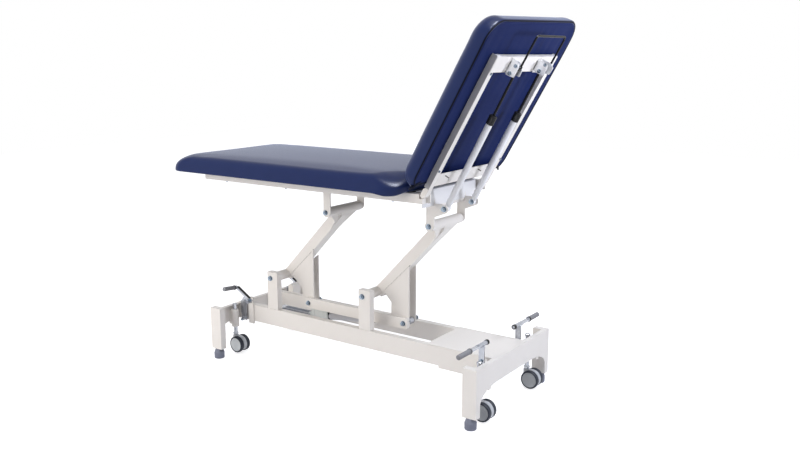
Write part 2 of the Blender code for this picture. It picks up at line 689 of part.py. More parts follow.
# Seat section
for end, px in (("foot", PIVOT_X), ("head", PIVOT_X + PIVOT_SPACING)):
    top_x, top_z = in_arm(px, ARM_LENGTH, 0)
    half = HANGER_X / 2
    plate_top = SEAT_RAIL_LOW - GAP
    mid = top_x + HANGER_SHIFT
    outline = [(mid - half, plate_top)]
    outline += arc(mid, top_z + half - HANGER_BELOW, half, 180, 360, 8)
    if end == "head":
        outline += [(mid + half, STRUT_LOW_Z - 2 * STRUT_EAR_R)]
        outline += arc(STRUT_LOW_X, STRUT_LOW_Z, STRUT_EAR_R, -60, 80, 7)
        outline += [(mid + half, STRUT_LOW_Z + STRUT_EAR_R)]
    outline += [(mid + half, plate_top)]
    for side, sign in (("near", -1), ("far", 1)):
        sheet = sorted((sign * HANGER_IN, sign * (HANGER_IN + HANGER_T)))
        piece(f"hanger_{end}_{side}", [prism_y(outline, *sheet)], IVORY)
    cross_y = SEAT_RAIL_OUT - SEAT_RAIL_Y - GAP
    deep = (mid - CROSS_X / 2, mid + CROSS_X / 2)
    bars = [box(*deep, -cross_y, cross_y, SEAT_RAIL_LOW, CROSS_TOP)]
    if end == "head":
        web_y = HANGER_IN - GAP
        bars.append(box(*deep, -web_y, web_y, HEAD_CROSS_LOW, CROSS_TOP - 0.001))
    piece(f"seat_cross_{end}", bars, IVORY)

for side, sign in (("near", -1), ("far", 1)):
    inside = SEAT_RAIL_OUT - SEAT_RAIL_Y
    ys = sorted((sign * SEAT_RAIL_OUT, sign * inside))
    hollow = sorted((sign * (SEAT_RAIL_OUT - WALL), sign * (inside + WALL)))
    step = (SEAT_RAIL_END - RAIL_STEP, SEAT_RAIL_TOP)
    outline = [(SEAT_RAIL_START, SEAT_RAIL_LOW), (SEAT_RAIL_END, SEAT_RAIL_LOW)]
    outline += [(SEAT_RAIL_END, CROSS_TOP), (step[0], CROSS_TOP), step, (SEAT_RAIL_START, SEAT_RAIL_TOP)]
    low = (SEAT_RAIL_LOW + WALL, SEAT_RAIL_TOP + 0.01)
    channel = box(SEAT_RAIL_START + WALL, SEAT_RAIL_END - 0.060, *hollow, *low)
    lug_y = sorted((sign * (inside + 0.001), sign * (inside + 0.001 - LUG_T)))
    lug = [(HINGE_X - 0.022, SEAT_RAIL_LOW + 0.001), (HINGE_X + 0.014, SEAT_RAIL_LOW + 0.001)]
    lug += arc(HINGE_X, HINGE_Z, 0.014, 0, 180, 8)
    piece(f"seat_rail_{side}", [prism_y(outline, *ys), prism_y(lug, *lug_y)], IVORY, None, [channel])

board_z = CROSS_TOP + GAP
board_y = SEAT_RAIL_OUT - SEAT_RAIL_Y - GAP
board = box(SEAT_RAIL_START, SEAT_END - BOARD_SHORT, -board_y, board_y, board_z, SEAT_RAIL_TOP)
piece("seat_board", [board], BOARD)
pad_z = SEAT_RAIL_TOP + GAP
shape = cushion((SEAT_END - SEAT_START) / 2, PAD_HALF, SEAT_PAD_T, PAD_CORNER, PAD_END_ROLL, 8, 5)
move = Matrix.Translation(((SEAT_START + SEAT_END) / 2, 0, pad_z))
piece("seat_pad", [placed(shape, move)], NAVY)

# Backrest, drawn lying flat from its hinge and then turned up
hinge = (HINGE_X, 0, HINGE_Z)
raise_back = Matrix.Translation(hinge) @ Matrix.Rotation(-BACK_ANGLE, 4, "Y")


def back_piece(name, shapes, finish, pivot=None):
    return piece(name, [placed(shape, raise_back) for shape in shapes], finish, pivot)


rail_half = BACK_RAIL_T / 2
rail_over = BACK_PAD_N - GAP
for side, sign in (("near", -1), ("far", 1)):
    ys = sorted((sign * BACK_RAIL_IN, sign * SEAT_RAIL_OUT))
    rail = prism_y(
        arc(0, 0, rail_half, 90, 270, 6)
        + [(BACK_RAIL_END, -rail_half), (BACK_RAIL_END, rail_over), (BACK_PAD_START - 0.004, rail_over)]
        + [(BACK_PAD_START - 0.012, rail_half)],
        *ys,
    )
    back_piece(f"back_rail_{side}", [rail], IVORY, (HINGE_X, sign * BACK_RAIL_IN, HINGE_Z))
plate_y = BACK_RAIL_IN - GAP
for name, start, length in (
    ("back_plate_top", BACK_RAIL_END - TOP_PLATE_S, TOP_PLATE_S),
    ("back_plate_low", LOW_PLATE_START, LOW_PLATE_S),
):
    sheet = box(start, start + length, -plate_y, plate_y, -rail_half, -rail_half + CROSS_PLATE_T)
    ribs = [box(start, start + 0.004, -plate_y, plate_y, -rail_half, rail_over)]
    back_piece(name, [sheet] + ribs, IVORY)

pad_half = (BACK_PAD_END - BACK_PAD_START) / 2
shape = cushion(pad_half, PAD_HALF, BACK_PAD_T, PAD_CORNER * 0.8, PAD_ROLL, 5, 5)
move = Matrix.Translation(((BACK_PAD_START + BACK_PAD_END) / 2, 0, BACK_PAD_N))
back_piece("back_pad", [placed(shape, move)], NAVY)

# Gas struts between the head hangers and the backrest, with the release handle above them
strut_top = raise_back @ Vector((STRUT_TOP_S, 0, STRUT_TOP_N))
strut = strut_top - Vector((STRUT_LOW_X, 0, STRUT_LOW_Z))
strut_length = strut.length
strut_tilt = math.atan2(strut.z, strut.x)
for side, sign in (("near", -1), ("far", 1)):
    y = sign * STRUT_Y
    lean = Matrix.Translation((STRUT_LOW_X, y, STRUT_LOW_Z)) @ Matrix.Rotation(-strut_tilt, 4, "Y")
    eye = cylinder((0, -STRUT_EYE, 0), (0, STRUT_EYE, 0), TUBE_R)
    pin = cylinder((0, 0, 0), (0, sign * (HANGER_IN - GAP - STRUT_Y), 0), STRUT_PIN_R)
    tube = rod((0.006, 0, 0), (TUBE_END, 0, 0), [(0, 0.009), (0.06, TUBE_R), (1, TUBE_R)])
    collar = cylinder((TUBE_END - 0.002, 0, 0), (TUBE_END + STRUT_COLLAR, 0, 0), STRUT_COLLAR_R)
    rod_start = TUBE_END + STRUT_COLLAR - STRUT_HOLD
    bore = cylinder(
        (rod_start - STRUT_STROKE, 0, 0), (TUBE_END + STRUT_COLLAR + 0.01, 0, 0), STRUT_ROD_R + RUN, 16
    )
    shapes = [placed(shape, lean) for shape in (tube, eye, pin, collar)]
    piece(f"strut_tube_{side}", shapes, WHITE, (STRUT_LOW_X, y, STRUT_LOW_Z), [placed(bore, lean)])
    shaft = cylinder((rod_start, 0, 0), (strut_length - 0.004, 0, 0), STRUT_ROD_R, 16)
    eye = cylinder((strut_length, -0.008, 0), (strut_length, 0.008, 0), 0.010)
    shapes = [placed(shaft, lean), placed(eye, lean)]
    piece(f"strut_rod_{side}", shapes, BLACK, (strut_top.x, y, strut_top.z))

    plate_n = -rail_half - GAP
    sides = (y - CLEVIS_HALF, y + CLEVIS_HALF)
    foot = box(STRUT_TOP_S - 0.030, STRUT_TOP_S + 0.023, *sides, plate_n - CLEVIS_T, plate_n)
    ears = []
    for turned in (-1, 1):
        outline = [(STRUT_TOP_S - 0.030, plate_n), (STRUT_TOP_S + 0.023, plate_n)]
        outline += arc(STRUT_TOP_S, STRUT_TOP_N, 0.023, 0, -180, 10)
        ys = sorted((y + turned * CLEVIS_HALF, y + turned * (CLEVIS_HALF - CLEVIS_T)))
        ears.append(prism_y(outline, *ys))
    back_piece(f"clevis_{side}", [foot] + ears, ZINC)

wire_y = STRUT_Y + CLEVIS_HALF + WIRE_R + GAP
path = [
    (WIRE_START, -wire_y), (WIRE_END - 0.012, -wire_y), (WIRE_END - 0.004, -wire_y + 0.004),
    (WIRE_END, -wire_y + 0.012), (WIRE_END, wire_y - 0.012), (WIRE_END - 0.004, wire_y - 0.004),
    (WIRE_END - 0.012, wire_y), (WIRE_START, wire_y),
]
rings = []
for k, (s, y) in enumerate(path):
    before = Vector(path[max(k - 1, 0)])
    after = Vector(path[min(k + 1, len(path) - 1)])
    along = (after - before).normalized()
    aside = Vector((-along.y, along.x))
    ring = []
    for i in range(10):
        angle = 2 * math.pi * i / 10
        across = aside * (WIRE_R * math.cos(angle))
        ring.append((s + across.x, y + across.y, WIRE_N + WIRE_R * math.sin(angle)))
    rings.append(ring)
grip_pivot = raise_back @ Vector((WIRE_START, 0, WIRE_N))
back_piece("release_handle", [loop_mesh(rings)], BLACK, grip_pivot)

# The middle of the footprint becomes the origin
bpy.context.view_layer.update()
low = [float("inf")] * 3
high = [float("-inf")] * 3
for thing in bpy.context.scene.objects:
    for vertex in thing.data.vertices:
        point = thing.matrix_world @ vertex.co
        low = [min(a, b) for a, b in zip(low, point)]
        high = [max(a, b) for a, b in zip(high, point)]
shift = Vector(((low[0] + high[0]) / 2, (low[1] + high[1]) / 2, low[2]))
for thing in bpy.context.scene.objects:
    thing.location = thing.location - shift
print("moved by", [round(-value, 5) for value in shift])
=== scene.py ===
# %% [markdown]
# # A treatment table, piece by piece
# The table has a long seat, a raised backrest and a lifting base of ivory tubes. The solids come
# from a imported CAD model, which already holds every joint. This lesson gives those solids their
# finishes and adds what a solid lacks: soft pads, seams, bolts, grips and wheels with tyres.
# Everything is in metres, with +X towards the backrest, -Y towards the viewer and +Z up.

# %% Load the frame
import math

import bmesh
import bpy
from mathutils import Matrix, Vector, noise
from mathutils.bvhtree import BVHTree


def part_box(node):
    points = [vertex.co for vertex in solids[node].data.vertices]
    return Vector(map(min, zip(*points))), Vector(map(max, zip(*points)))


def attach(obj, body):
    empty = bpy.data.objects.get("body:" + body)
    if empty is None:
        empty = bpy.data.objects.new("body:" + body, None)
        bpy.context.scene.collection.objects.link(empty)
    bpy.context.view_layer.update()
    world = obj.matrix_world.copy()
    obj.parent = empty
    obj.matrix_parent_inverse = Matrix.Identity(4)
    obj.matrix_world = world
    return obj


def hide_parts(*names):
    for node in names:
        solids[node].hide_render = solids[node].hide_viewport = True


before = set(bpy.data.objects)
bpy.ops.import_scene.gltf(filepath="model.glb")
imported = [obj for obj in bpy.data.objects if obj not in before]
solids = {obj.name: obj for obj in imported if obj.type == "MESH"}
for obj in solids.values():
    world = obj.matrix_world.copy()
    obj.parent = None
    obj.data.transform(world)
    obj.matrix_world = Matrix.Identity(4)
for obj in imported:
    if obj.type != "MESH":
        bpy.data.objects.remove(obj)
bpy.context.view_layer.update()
scene = bpy.context.scene
scene.view_settings.view_transform = "Standard"

# %% [markdown]
# The photograph is taken from the head end of the near side, a little above the seat. A camera
# that is fitted to the long edges of the base gives the place, the turn and the lens below.

# %% Camera
eye = bpy.data.cameras.new("viewer")
eye.lens = 38.2635
eye.sensor_width = 36.0
eye.clip_end = 60.0
viewer = bpy.data.objects.new("viewer", eye)
viewer.location = (2.1694, -2.8253, 1.3500)
viewer.rotation_euler = (math.radians(78.70), 0.0, math.radians(35.06))
scene.collection.objects.link(viewer)
scene.camera = viewer
print("camera", [round(part, 3) for part in viewer.location])

# %% [markdown]
# Light, floor and finishes are all node trees, so three small helpers come first: one places a node,
# one links sockets, and one links a socket or sets it, whichever its source needs.

# %% Helpers for nodes
def put(tree, kind, values=None, **settings):
    """A node of this kind with its properties and its input values set."""
    node = tree.nodes.new(kind)
    for key, value in settings.items():
        setattr(node, key, value)
    for key, value in (values or {}).items():
        node.inputs[key].default_value = value
    return node


def wire(tree, *pairs):
    for source, socket in pairs:
        tree.links.new(source, socket)


def feed(tree, *pairs):
    """Links each socket to its source, or sets it where the source is a plain value."""
    for source, socket in pairs:
        if hasattr(source, "links"):
            tree.links.new(source, socket)
        else:
            socket.default_value = source


def white_rays(tree):
    """1 for the rays that meet plain white: from the camera, off gloss and through glass."""
    rays = put(tree, "ShaderNodeLightPath").outputs
    seen = put(tree, "ShaderNodeMath", operation="MAXIMUM")
    shiny = put(tree, "ShaderNodeMath", operation="MAXIMUM")
    wire(
        tree, (rays["Is Camera Ray"], seen.inputs[0]), (rays["Is Glossy Ray"], seen.inputs[1]),
        (seen.outputs[0], shiny.inputs[0]), (rays["Is Transmission Ray"], shiny.inputs[1]),
    )
    return shiny.outputs[0]


print("helpers ready")

# %% [markdown]
# A catalogue photograph is lit by big soft boxes in a white room. An even white world does most of
# that work. Lamps give the faces their slight difference: a warm one in front, and cooler ones over
# the table, beyond its head end and on its far side. The last one shows only as a gleam on the vinyl.
# The world is plain white to the camera and to reflections, so metal shows a white room as well.
# The floor is clear from below, so the table can be looked at from there too.

# %% World, lamps and floor
AMBIENT = 0.52
FLOOR_GLOW = 0.75
FLOOR_REACH = 9
LAMPS = (
    ("front_box", (-2.0, -3.3, 1.8), (0.0, 0.0, 0.7), (3.0, 3.0), 86.0, (1.0, 0.955, 0.895)),
    ("head_box", (1.9, 0.5, 1.25), (0.5, 0.0, 1.6), (0.3, 0.3), 15.0, (0.84, 0.88, 1.0)),
    ("over_box", (1.6, -0.7, 3.5), (0.3, 0.0, 0.5), (0.75, 0.85), 30.0, (0.80, 0.86, 1.0)),
    ("far_box", (-2.4, 4.6, 1.7), (0.0, 0.0, 0.9), (2.6, 2.6), 30.0, (0.92, 0.95, 1.0)),
    ("gleam_box", (1.6, -0.7, 3.5), (0.4, -0.3, 0.9), (1.4, 1.4), 300.0, (0.92, 0.95, 1.0)),
)

world = bpy.data.worlds.new("white_room")
scene.world = world
world.use_nodes = True
room = world.node_tree
room.nodes.clear()
plain = put(
    room, "ShaderNodeBackground", {"Strength": AMBIENT, "Color": (0.975, 0.985, 1.02, 1.0)}
)
white = put(room, "ShaderNodeBackground", {"Color": (1.0, 1.0, 1.0, 1.0)})
either = put(room, "ShaderNodeMixShader")
ending = put(room, "ShaderNodeOutputWorld")
wire(
    room, (white_rays(room), either.inputs[0]), (plain.outputs[0], either.inputs[1]),
    (white.outputs[0], either.inputs[2]), (either.outputs[0], ending.inputs["Surface"]),
)

for name, place, aim, sides, power, colour in LAMPS:
    lamp = bpy.data.lights.new(name, "AREA")
    lamp.shape = "RECTANGLE"
    lamp.size, lamp.size_y = sides
    lamp.energy = power
    lamp.color = colour
    holder = bpy.data.objects.new(name, lamp)
    holder.location = place
    holder.rotation_euler = (Vector(aim) - Vector(place)).to_track_quat("-Z", "Y").to_euler()
    holder.visible_camera = False
    holder.visible_glossy = name not in ("front_box", "far_box")
    holder.visible_diffuse = name != "gleam_box"
    scene.collection.objects.link(holder)

ground = bpy.data.meshes.new("studio_floor")
far_off = [(x * FLOOR_REACH, y * FLOOR_REACH, 0) for x, y in ((-1, -1), (1, -1), (1, 1), (-1, 1))]
ground.from_pydata(far_off, [], [(0, 1, 2, 3)])
floor = bpy.data.objects.new("studio_floor", ground)
scene.collection.objects.link(floor)
paper = bpy.data.materials.new("studio_paper")
paper.use_nodes = True
tree = paper.node_tree
tree.nodes.clear()
matt = put(tree, "ShaderNodeBsdfDiffuse", {"Color": (0.72, 0.72, 0.74, 1.0)})
glow = put(tree, "ShaderNodeEmission")
level = put(tree, "ShaderNodeMath", {1: FLOOR_GLOW}, operation="MULTIPLY")
both = put(tree, "ShaderNodeAddShader")
facing = put(tree, "ShaderNodeNewGeometry")
clear = put(tree, "ShaderNodeBsdfTransparent")
one_sided = put(tree, "ShaderNodeMixShader")
done = put(tree, "ShaderNodeOutputMaterial")
wire(
    tree, (white_rays(tree), level.inputs[0]), (level.outputs[0], glow.inputs["Strength"]),
    (matt.outputs[0], both.inputs[0]), (glow.outputs[0], both.inputs[1]),
    (facing.outputs["Backfacing"], one_sided.inputs[0]), (both.outputs[0], one_sided.inputs[1]),
    (clear.outputs[0], one_sided.inputs[2]), (one_sided.outputs[0], done.inputs["Surface"]),
)
ground.materials.append(paper)
print("world at", AMBIENT, "with", len(LAMPS), "lamps")

# %% [markdown]
# A finish is never one flat colour. Paint has a faint orange peel, plated steel has drawn lines and
# clouds, vinyl has a pressed grain. Each of these effects is a node group that is built once and
# placed in every material that needs it. A group gives out colours, roughness and heights that
# change over the surface. What stays the same all over is set on the shader itself.

# %% Helpers for node groups
COLOUR = "NodeSocketColor"
NUMBER = "NodeSocketFloat"


def new_group(name, inputs, outputs):
    group = bpy.data.node_groups.new(name, "ShaderNodeTree")
    for label, kind in inputs:
        group.interface.new_socket(label, in_out="INPUT", socket_type=kind)
    for label, kind in outputs:
        group.interface.new_socket(label, in_out="OUTPUT", socket_type=kind)
    return group, put(group, "NodeGroupInput").outputs, put(group, "NodeGroupOutput").inputs


def surface_group(name, *scales):
    """A group that takes two colours, some scales and two roughnesses."""
    inputs = [("Light", COLOUR), ("Dark", COLOUR)] + [(label, NUMBER) for label in scales]
    inputs += [("Least Roughness", NUMBER), ("Most Roughness", NUMBER)]
    return new_group(name, inputs, [("Colour", COLOUR), ("Roughness", NUMBER), ("Height", NUMBER)])


def spread(tree, value, low, high):
    """Turns a value from 0 to 1 into one from low to high."""
    node = put(tree, "ShaderNodeMapRange")
    feed(
        tree, (value, node.inputs["Value"]), (low, node.inputs["To Min"]),
        (high, node.inputs["To Max"]),
    )
    return node.outputs["Result"]


def blend_colours(tree, share, first, second):
    node = put(tree, "ShaderNodeMix", data_type="RGBA")
    feed(tree, (share, node.inputs[0]), (first, node.inputs[6]), (second, node.inputs[7]))
    return node.outputs[2]


def cloudy(tree, spot, scale, detail):
    """A noise pattern over the surface."""
    node = put(tree, "ShaderNodeTexNoise", {"Detail": detail})
    feed(tree, (spot, node.inputs["Vector"]), (scale, node.inputs["Scale"]))
    return node.outputs["Fac"]


def close_group(tree, given, taken, clouds, smears, height):
    """Ends a surface group: what blends its colours, what spreads its roughness, and its height."""
    least, most = given["Least Roughness"], given["Most Roughness"]
    wire(
        tree, (blend_colours(tree, clouds, given["Dark"], given["Light"]), taken["Colour"]),
        (spread(tree, smears, least, most), taken["Roughness"]), (height, taken["Height"]),
    )
    print("group", tree.name)


print("group helpers ready")

# %% Group: mottled skin, for paint, plastic and rubber
mottled, given, taken = surface_group("mottled_skin", "Cloud Scale", "Peel Scale")
spot = put(mottled, "ShaderNodeTexCoord").outputs["Object"]
close_group(
    mottled, given, taken, cloudy(mottled, spot, given["Cloud Scale"], 4.0),
    cloudy(mottled, spot, 38.0, 5.0), cloudy(mottled, spot, given["Peel Scale"], 2.0),
)

# %% Group: plated metal, with drawn lines and the faint clouds of a zinc bath
plated, given, taken = surface_group("plated_metal", "Line Scale")
spot = put(plated, "ShaderNodeTexCoord").outputs["Object"]
stretch = put(plated, "ShaderNodeMapping", {"Scale": (1.0, 9.0, 1.0)})
wire(plated, (spot, stretch.inputs["Vector"]))
lines = cloudy(plated, stretch.outputs["Vector"], given["Line Scale"], 6.0)
close_group(plated, given, taken, cloudy(plated, spot, 46.0, 4.0), lines, lines)

# %% Group: pressed grain, for vinyl
grained, given, taken = surface_group("pressed_grain", "Grain Scale")
spot = put(grained, "ShaderNodeTexCoord").outputs["Object"]
cells = put(grained, "ShaderNodeTexVoronoi", {"Smoothness": 0.35}, feature="SMOOTH_F1")
fine = cloudy(grained, spot, 240.0, 3.0)
hollow = put(grained, "ShaderNodeMath", {1: -1.0}, operation="MULTIPLY_ADD")
wire(
    grained, (spot, cells.inputs["Vector"]), (given["Grain Scale"], cells.inputs["Scale"]),
    (cells.outputs["Distance"], hollow.inputs[0]), (fine, hollow.inputs[2]),
)
close_group(grained, given, taken, cloudy(grained, spot, 9.0, 5.0), fine, hollow.outputs[0])

# %% Group: rubbed edges, where a coat is thinner or a soft edge is scuffed, with a painted highlight along each edge
edge_wear_and_highlight, given, taken = new_group("rubbed_and_highlit_edges", [("Radius", NUMBER)], [("Mask", NUMBER)])
rounded = put(edge_wear_and_highlight, "ShaderNodeBevel", samples=4)
facing = put(edge_wear_and_highlight, "ShaderNodeNewGeometry")
agree = put(edge_wear_and_highlight, "ShaderNodeVectorMath", operation="DOT_PRODUCT")
corner = put(edge_wear_and_highlight, "ShaderNodeMapRange", {"From Min": 0.995, "From Max": 0.80})
broken = put(edge_wear_and_highlight, "ShaderNodeMath", operation="MULTIPLY")
patch = cloudy(edge_wear_and_highlight, put(edge_wear_and_highlight, "ShaderNodeTexCoord").outputs["Object"], 60.0, 5.0)
wire(
    edge_wear_and_highlight, (given["Radius"], rounded.inputs["Radius"]), (rounded.outputs["Normal"], agree.inputs[0]),
    (facing.outputs["Normal"], agree.inputs[1]), (agree.outputs["Value"], corner.inputs["Value"]),
    (corner.outputs["Result"], broken.inputs[0]),
    (spread(edge_wear_and_highlight, patch, 0.2, 1.0), broken.inputs[1]), (broken.outputs[0], taken["Mask"]),
)
print("group", edge_wear_and_highlight.name)

# %% [markdown]
# A finish is now a short list: the group, its light and dark colour, its scales, its least and most
# roughness, and how strong and deep its bump is. Edges of painted, plated and rubber pieces get a
# second colour through the rubbed-edge group: partly wear, and partly a painted highlight along the
# edge.

# %% How a finish is built
FINISH = {}
SHEEN_TINT = (0.58, 0.70, 1.0, 1.0)


def finish(
    name, group, colours, scales, rough, bump,
    edge=None, metallic=0.0, coat=0.0, specular=0.5, sheen=0.0,
):
    made = FINISH[name] = bpy.data.materials.new(name)
    made.use_nodes = True
    tree = made.node_tree
    shader = tree.nodes["Principled BSDF"].inputs
    for label, value in (
        ("Metallic", metallic), ("Coat Weight", coat), ("Coat Roughness", 0.25),
        ("Specular IOR Level", specular), ("Sheen Weight", sheen), ("Sheen Roughness", 0.25),
        ("Sheen Tint", SHEEN_TINT),
    ):
        shader[label].default_value = value
    surface = put(tree, "ShaderNodeGroup", node_tree=group)
    values = [(*colour, 1.0) for colour in colours] + [*scales, *rough]
    for socket, value in zip(surface.inputs, values):
        socket.default_value = value
    colour = surface.outputs["Colour"]
    # The edge colour is partly wear and partly a painted highlight, mostly lighter than the face.
    if edge:
        edge_rub_and_highlight = put(tree, "ShaderNodeGroup", node_tree=edge_wear_and_highlight)
        edge_rub_and_highlight.inputs["Radius"].default_value = edge[1]
        colour = blend_colours(tree, edge_rub_and_highlight.outputs["Mask"], colour, (*edge[0], 1.0))
    relief = put(tree, "ShaderNodeBump", {"Strength": bump[0], "Distance": bump[1]})
    wire(
        tree, (colour, shader["Base Color"]), (surface.outputs["Roughness"], shader["Roughness"]),
        (surface.outputs["Height"], relief.inputs["Height"]),
        (relief.outputs["Normal"], shader["Normal"]),
    )


print("finish builder ready")

# %% Finishes: paint, plastic and rubber
finish(
    "ivory_coat", mottled, ((0.84, 0.805, 0.765), (0.80, 0.765, 0.725)), (3.0, 620.0), (0.30, 0.42),
    (0.10, 0.0004), ((0.88, 0.855, 0.81), 0.0015),
)
finish(
    "white_gloss", mottled, ((0.86, 0.86, 0.87), (0.82, 0.82, 0.84)), (5.0, 500.0), (0.16, 0.26),
    (0.04, 0.0003), ((0.9, 0.9, 0.91), 0.001), coat=0.3,
)
finish(
    "black_satin", mottled, ((0.012, 0.012, 0.013), (0.006, 0.006, 0.007)), (14.0, 700.0),
    (0.22, 0.36), (0.08, 0.0003), ((0.03, 0.03, 0.032), 0.0006), specular=0.15,
)
finish(
    "black_plastic", mottled, ((0.014, 0.014, 0.015), (0.008, 0.008, 0.009)), (20.0, 900.0),
    (0.34, 0.50), (0.15, 0.0003), ((0.03, 0.03, 0.032), 0.0008), specular=0.22,
)
finish(
    "foot_rubber", mottled, ((0.205, 0.220, 0.285), (0.155, 0.167, 0.220)), (18.0, 800.0),
    (0.55, 0.72), (0.25, 0.0004), ((0.24, 0.255, 0.31), 0.002),
)
finish(
    "tyre_rubber", mottled, ((0.034, 0.041, 0.058), (0.022, 0.027, 0.040)), (22.0, 900.0),
    (0.42, 0.60), (0.20, 0.0003), ((0.06, 0.067, 0.087), 0.0012), specular=0.25,
)
# The disc plastic comes twice: a darker copy painted with shade for the head-end discs, and a paler
# copy painted with light for the foot-end discs.
finish(
    "disc_painted_shaded", mottled, ((0.37, 0.385, 0.40), (0.32, 0.335, 0.35)), (20.0, 900.0),
    (0.38, 0.50), (0.12, 0.0003), ((0.56, 0.58, 0.59), 0.001),
)
finish(
    "disc_painted_lit", mottled, ((0.88, 0.91, 0.91), (0.80, 0.83, 0.83)), (20.0, 900.0), (0.38, 0.50),
    (0.12, 0.0003), ((0.72, 0.74, 0.74), 0.001),
)
finish(
    "hood_plastic", mottled, ((0.56, 0.58, 0.61), (0.50, 0.52, 0.56)), (20.0, 900.0), (0.30, 0.42),
    (0.10, 0.0003), ((0.66, 0.68, 0.7), 0.001),
)
finish(
    "grip_rubber", mottled, ((0.235, 0.235, 0.25), (0.185, 0.185, 0.20)), (30.0, 800.0),
    (0.50, 0.66), (0.25, 0.0004), ((0.30, 0.30, 0.315), 0.001),
)
finish(
    "motor_grey", mottled, ((0.76, 0.79, 0.775), (0.69, 0.72, 0.705)), (12.0, 900.0), (0.42, 0.56),
    (0.18, 0.0003), ((0.66, 0.69, 0.68), 0.0015),
)
finish(
    "tube_grey", mottled, ((0.52, 0.52, 0.55), (0.46, 0.46, 0.49)), (16.0, 700.0), (0.30, 0.42),
    (0.08, 0.0003), ((0.6, 0.6, 0.63), 0.001),
)
finish(
    "board_cover", mottled, ((0.075, 0.073, 0.072), (0.050, 0.049, 0.048)), (30.0, 420.0),
    (0.78, 0.92), (0.5, 0.0006),
)
# A mid grey laid on the open rail sides: painted shade inside the hollow.
finish(
    "painted_hollow_shade", mottled, ((0.46, 0.45, 0.455), (0.36, 0.35, 0.355)), (9.0, 700.0), (0.55, 0.70),
    (0.2, 0.0003),
)
finish(
    "shadow_gap", mottled, ((0.10, 0.088, 0.075), (0.06, 0.052, 0.045)), (30.0, 700.0), (0.7, 0.85),
    (0.3, 0.0003),
)
print(len(FINISH), "finishes so far")

# %% Finishes: plated metal, vinyl and thread
finish(
    "pale_zinc", plated, ((0.86, 0.86, 0.87), (0.70, 0.71, 0.74)), (120.0,), (0.34, 0.50),
    (0.06, 0.0003), ((0.92, 0.92, 0.93), 0.0008), metallic=1.0,
)
finish(
    "zinc_plate", plated, ((0.62, 0.645, 0.68), (0.46, 0.485, 0.53)), (120.0,), (0.22, 0.40),
    (0.06, 0.0003), ((0.78, 0.79, 0.81), 0.0008), metallic=1.0,
)
finish(
    "blue_zinc", plated, ((0.34, 0.40, 0.46), (0.18, 0.23, 0.29)), (160.0,), (0.14, 0.30),
    (0.05, 0.0002), ((0.60, 0.65, 0.70), 0.0006), metallic=1.0,
)
finish(
    "chrome_plate", plated, ((0.60, 0.62, 0.66), (0.32, 0.34, 0.385)), (90.0,), (0.10, 0.22),
    (0.03, 0.0002), ((0.80, 0.81, 0.83), 0.0008), metallic=0.65,
)
finish(
    "navy_vinyl", grained, ((0.012, 0.024, 0.098), (0.009, 0.019, 0.082)), (820.0,), (0.27, 0.37),
    (0.12, 0.0004), specular=0.16, sheen=0.34,
)
finish(
    "panel_vinyl", grained, ((0.013, 0.023, 0.096), (0.009, 0.016, 0.072)), (820.0,), (0.46, 0.60),
    (0.20, 0.0004), specular=0.03,
)
# Near black: the cord's own dark vinyl with the shade of the crease between side and panel painted in.
finish(
    "welt_vinyl_with_crease_shade", grained, ((0.004, 0.006, 0.018), (0.002, 0.003, 0.010)), (900.0,), (0.40, 0.54),
    (0.15, 0.0004), specular=0.06,
)
finish(
    "sewing_thread", grained, ((0.030, 0.036, 0.075), (0.018, 0.022, 0.050)), (1200.0,), (0.6, 0.75),
    (0.3, 0.0002), specular=0.2,
)
print(len(FINISH), "finishes")

# %% [markdown]
# Solids whose shape is right stay as they are and only take a finish. Bent sheet and tube never has
# a knife edge, so a small bevel goes on as a modifier: the loose triangles are welded, the flat
# faces are joined again, and then each sharp edge is rounded.

# %% Finishes and rounded edges for the solids
FINISH_OF = {
    "ivory_coat": "end_frame side_rail post cover_tray lift_arm tie_bar hanger seat_cross seat_rail"
    " back_rail back_plate",
    "chrome_plate": "actuator_mount castor_stem pedal actuator_rod",
    "board_cover": "seat_board", "foot_rubber": "rubber_foot", "hood_plastic": "castor_hood",
    "tyre_rubber": "castor_wheels", "motor_grey": "actuator_body", "white_gloss": "strut_tube",
    "black_satin": "strut_rod release_handle", "zinc_plate": "clevis",
    "navy_vinyl": "seat_pad back_pad",
}
ROUND_OF = {
    0.0008: "cover_tray pedal", 0.0009: "clevis", 0.0010: "back_plate", 0.0011: "hanger",
    0.0012: "seat_rail actuator_mount", 0.0014: "end_frame lift_arm seat_cross",
    0.0016: "side_rail post back_rail", 0.0018: "tie_bar", 0.0022: "actuator_body",
}


def looked_up(table, name):
    """The key of the table whose list has a beginning of this name."""
    fits = (key for key, starts in table.items() if name.startswith(tuple(starts.split())))
    return next(fits, None)


def soften(solid, width):
    weld = solid.modifiers.new("joined triangles", "WELD")
    weld.merge_threshold = 0.00002
    flat = solid.modifiers.new("whole faces", "DECIMATE")
    flat.decimate_type = "DISSOLVE"
    flat.angle_limit = math.radians(0.6)
    bend = solid.modifiers.new("rounded edges", "BEVEL")
    bend.width = width
    bend.segments = 2
    bend.limit_method = "ANGLE"
    bend.angle_limit = math.radians(32)
    bend.use_clamp_overlap = True
    even = solid.modifiers.new("even shading", "WEIGHTED_NORMAL")
    even.keep_sharp = False


for name, solid in solids.items():
    solid.data.materials.clear()
    solid.data.materials.append(FINISH[looked_up(FINISH_OF, name)])
    width = looked_up(ROUND_OF, name)
    if width:
        soften(solid, width)
print(sum(1 for solid in solids.values() if solid.modifiers), "solids with rounded edges")

# %% [markdown]
# New pieces are drawn in mesh code. A few small tools are enough: one joins rings of points, and on
# it stand the others, which turn a profile about an axis, as a lathe does, sweep a round bar along a
# path, and cut a plate from an outline. Every piece rides on a body of the frame and names the
# finish slot that it belongs to.

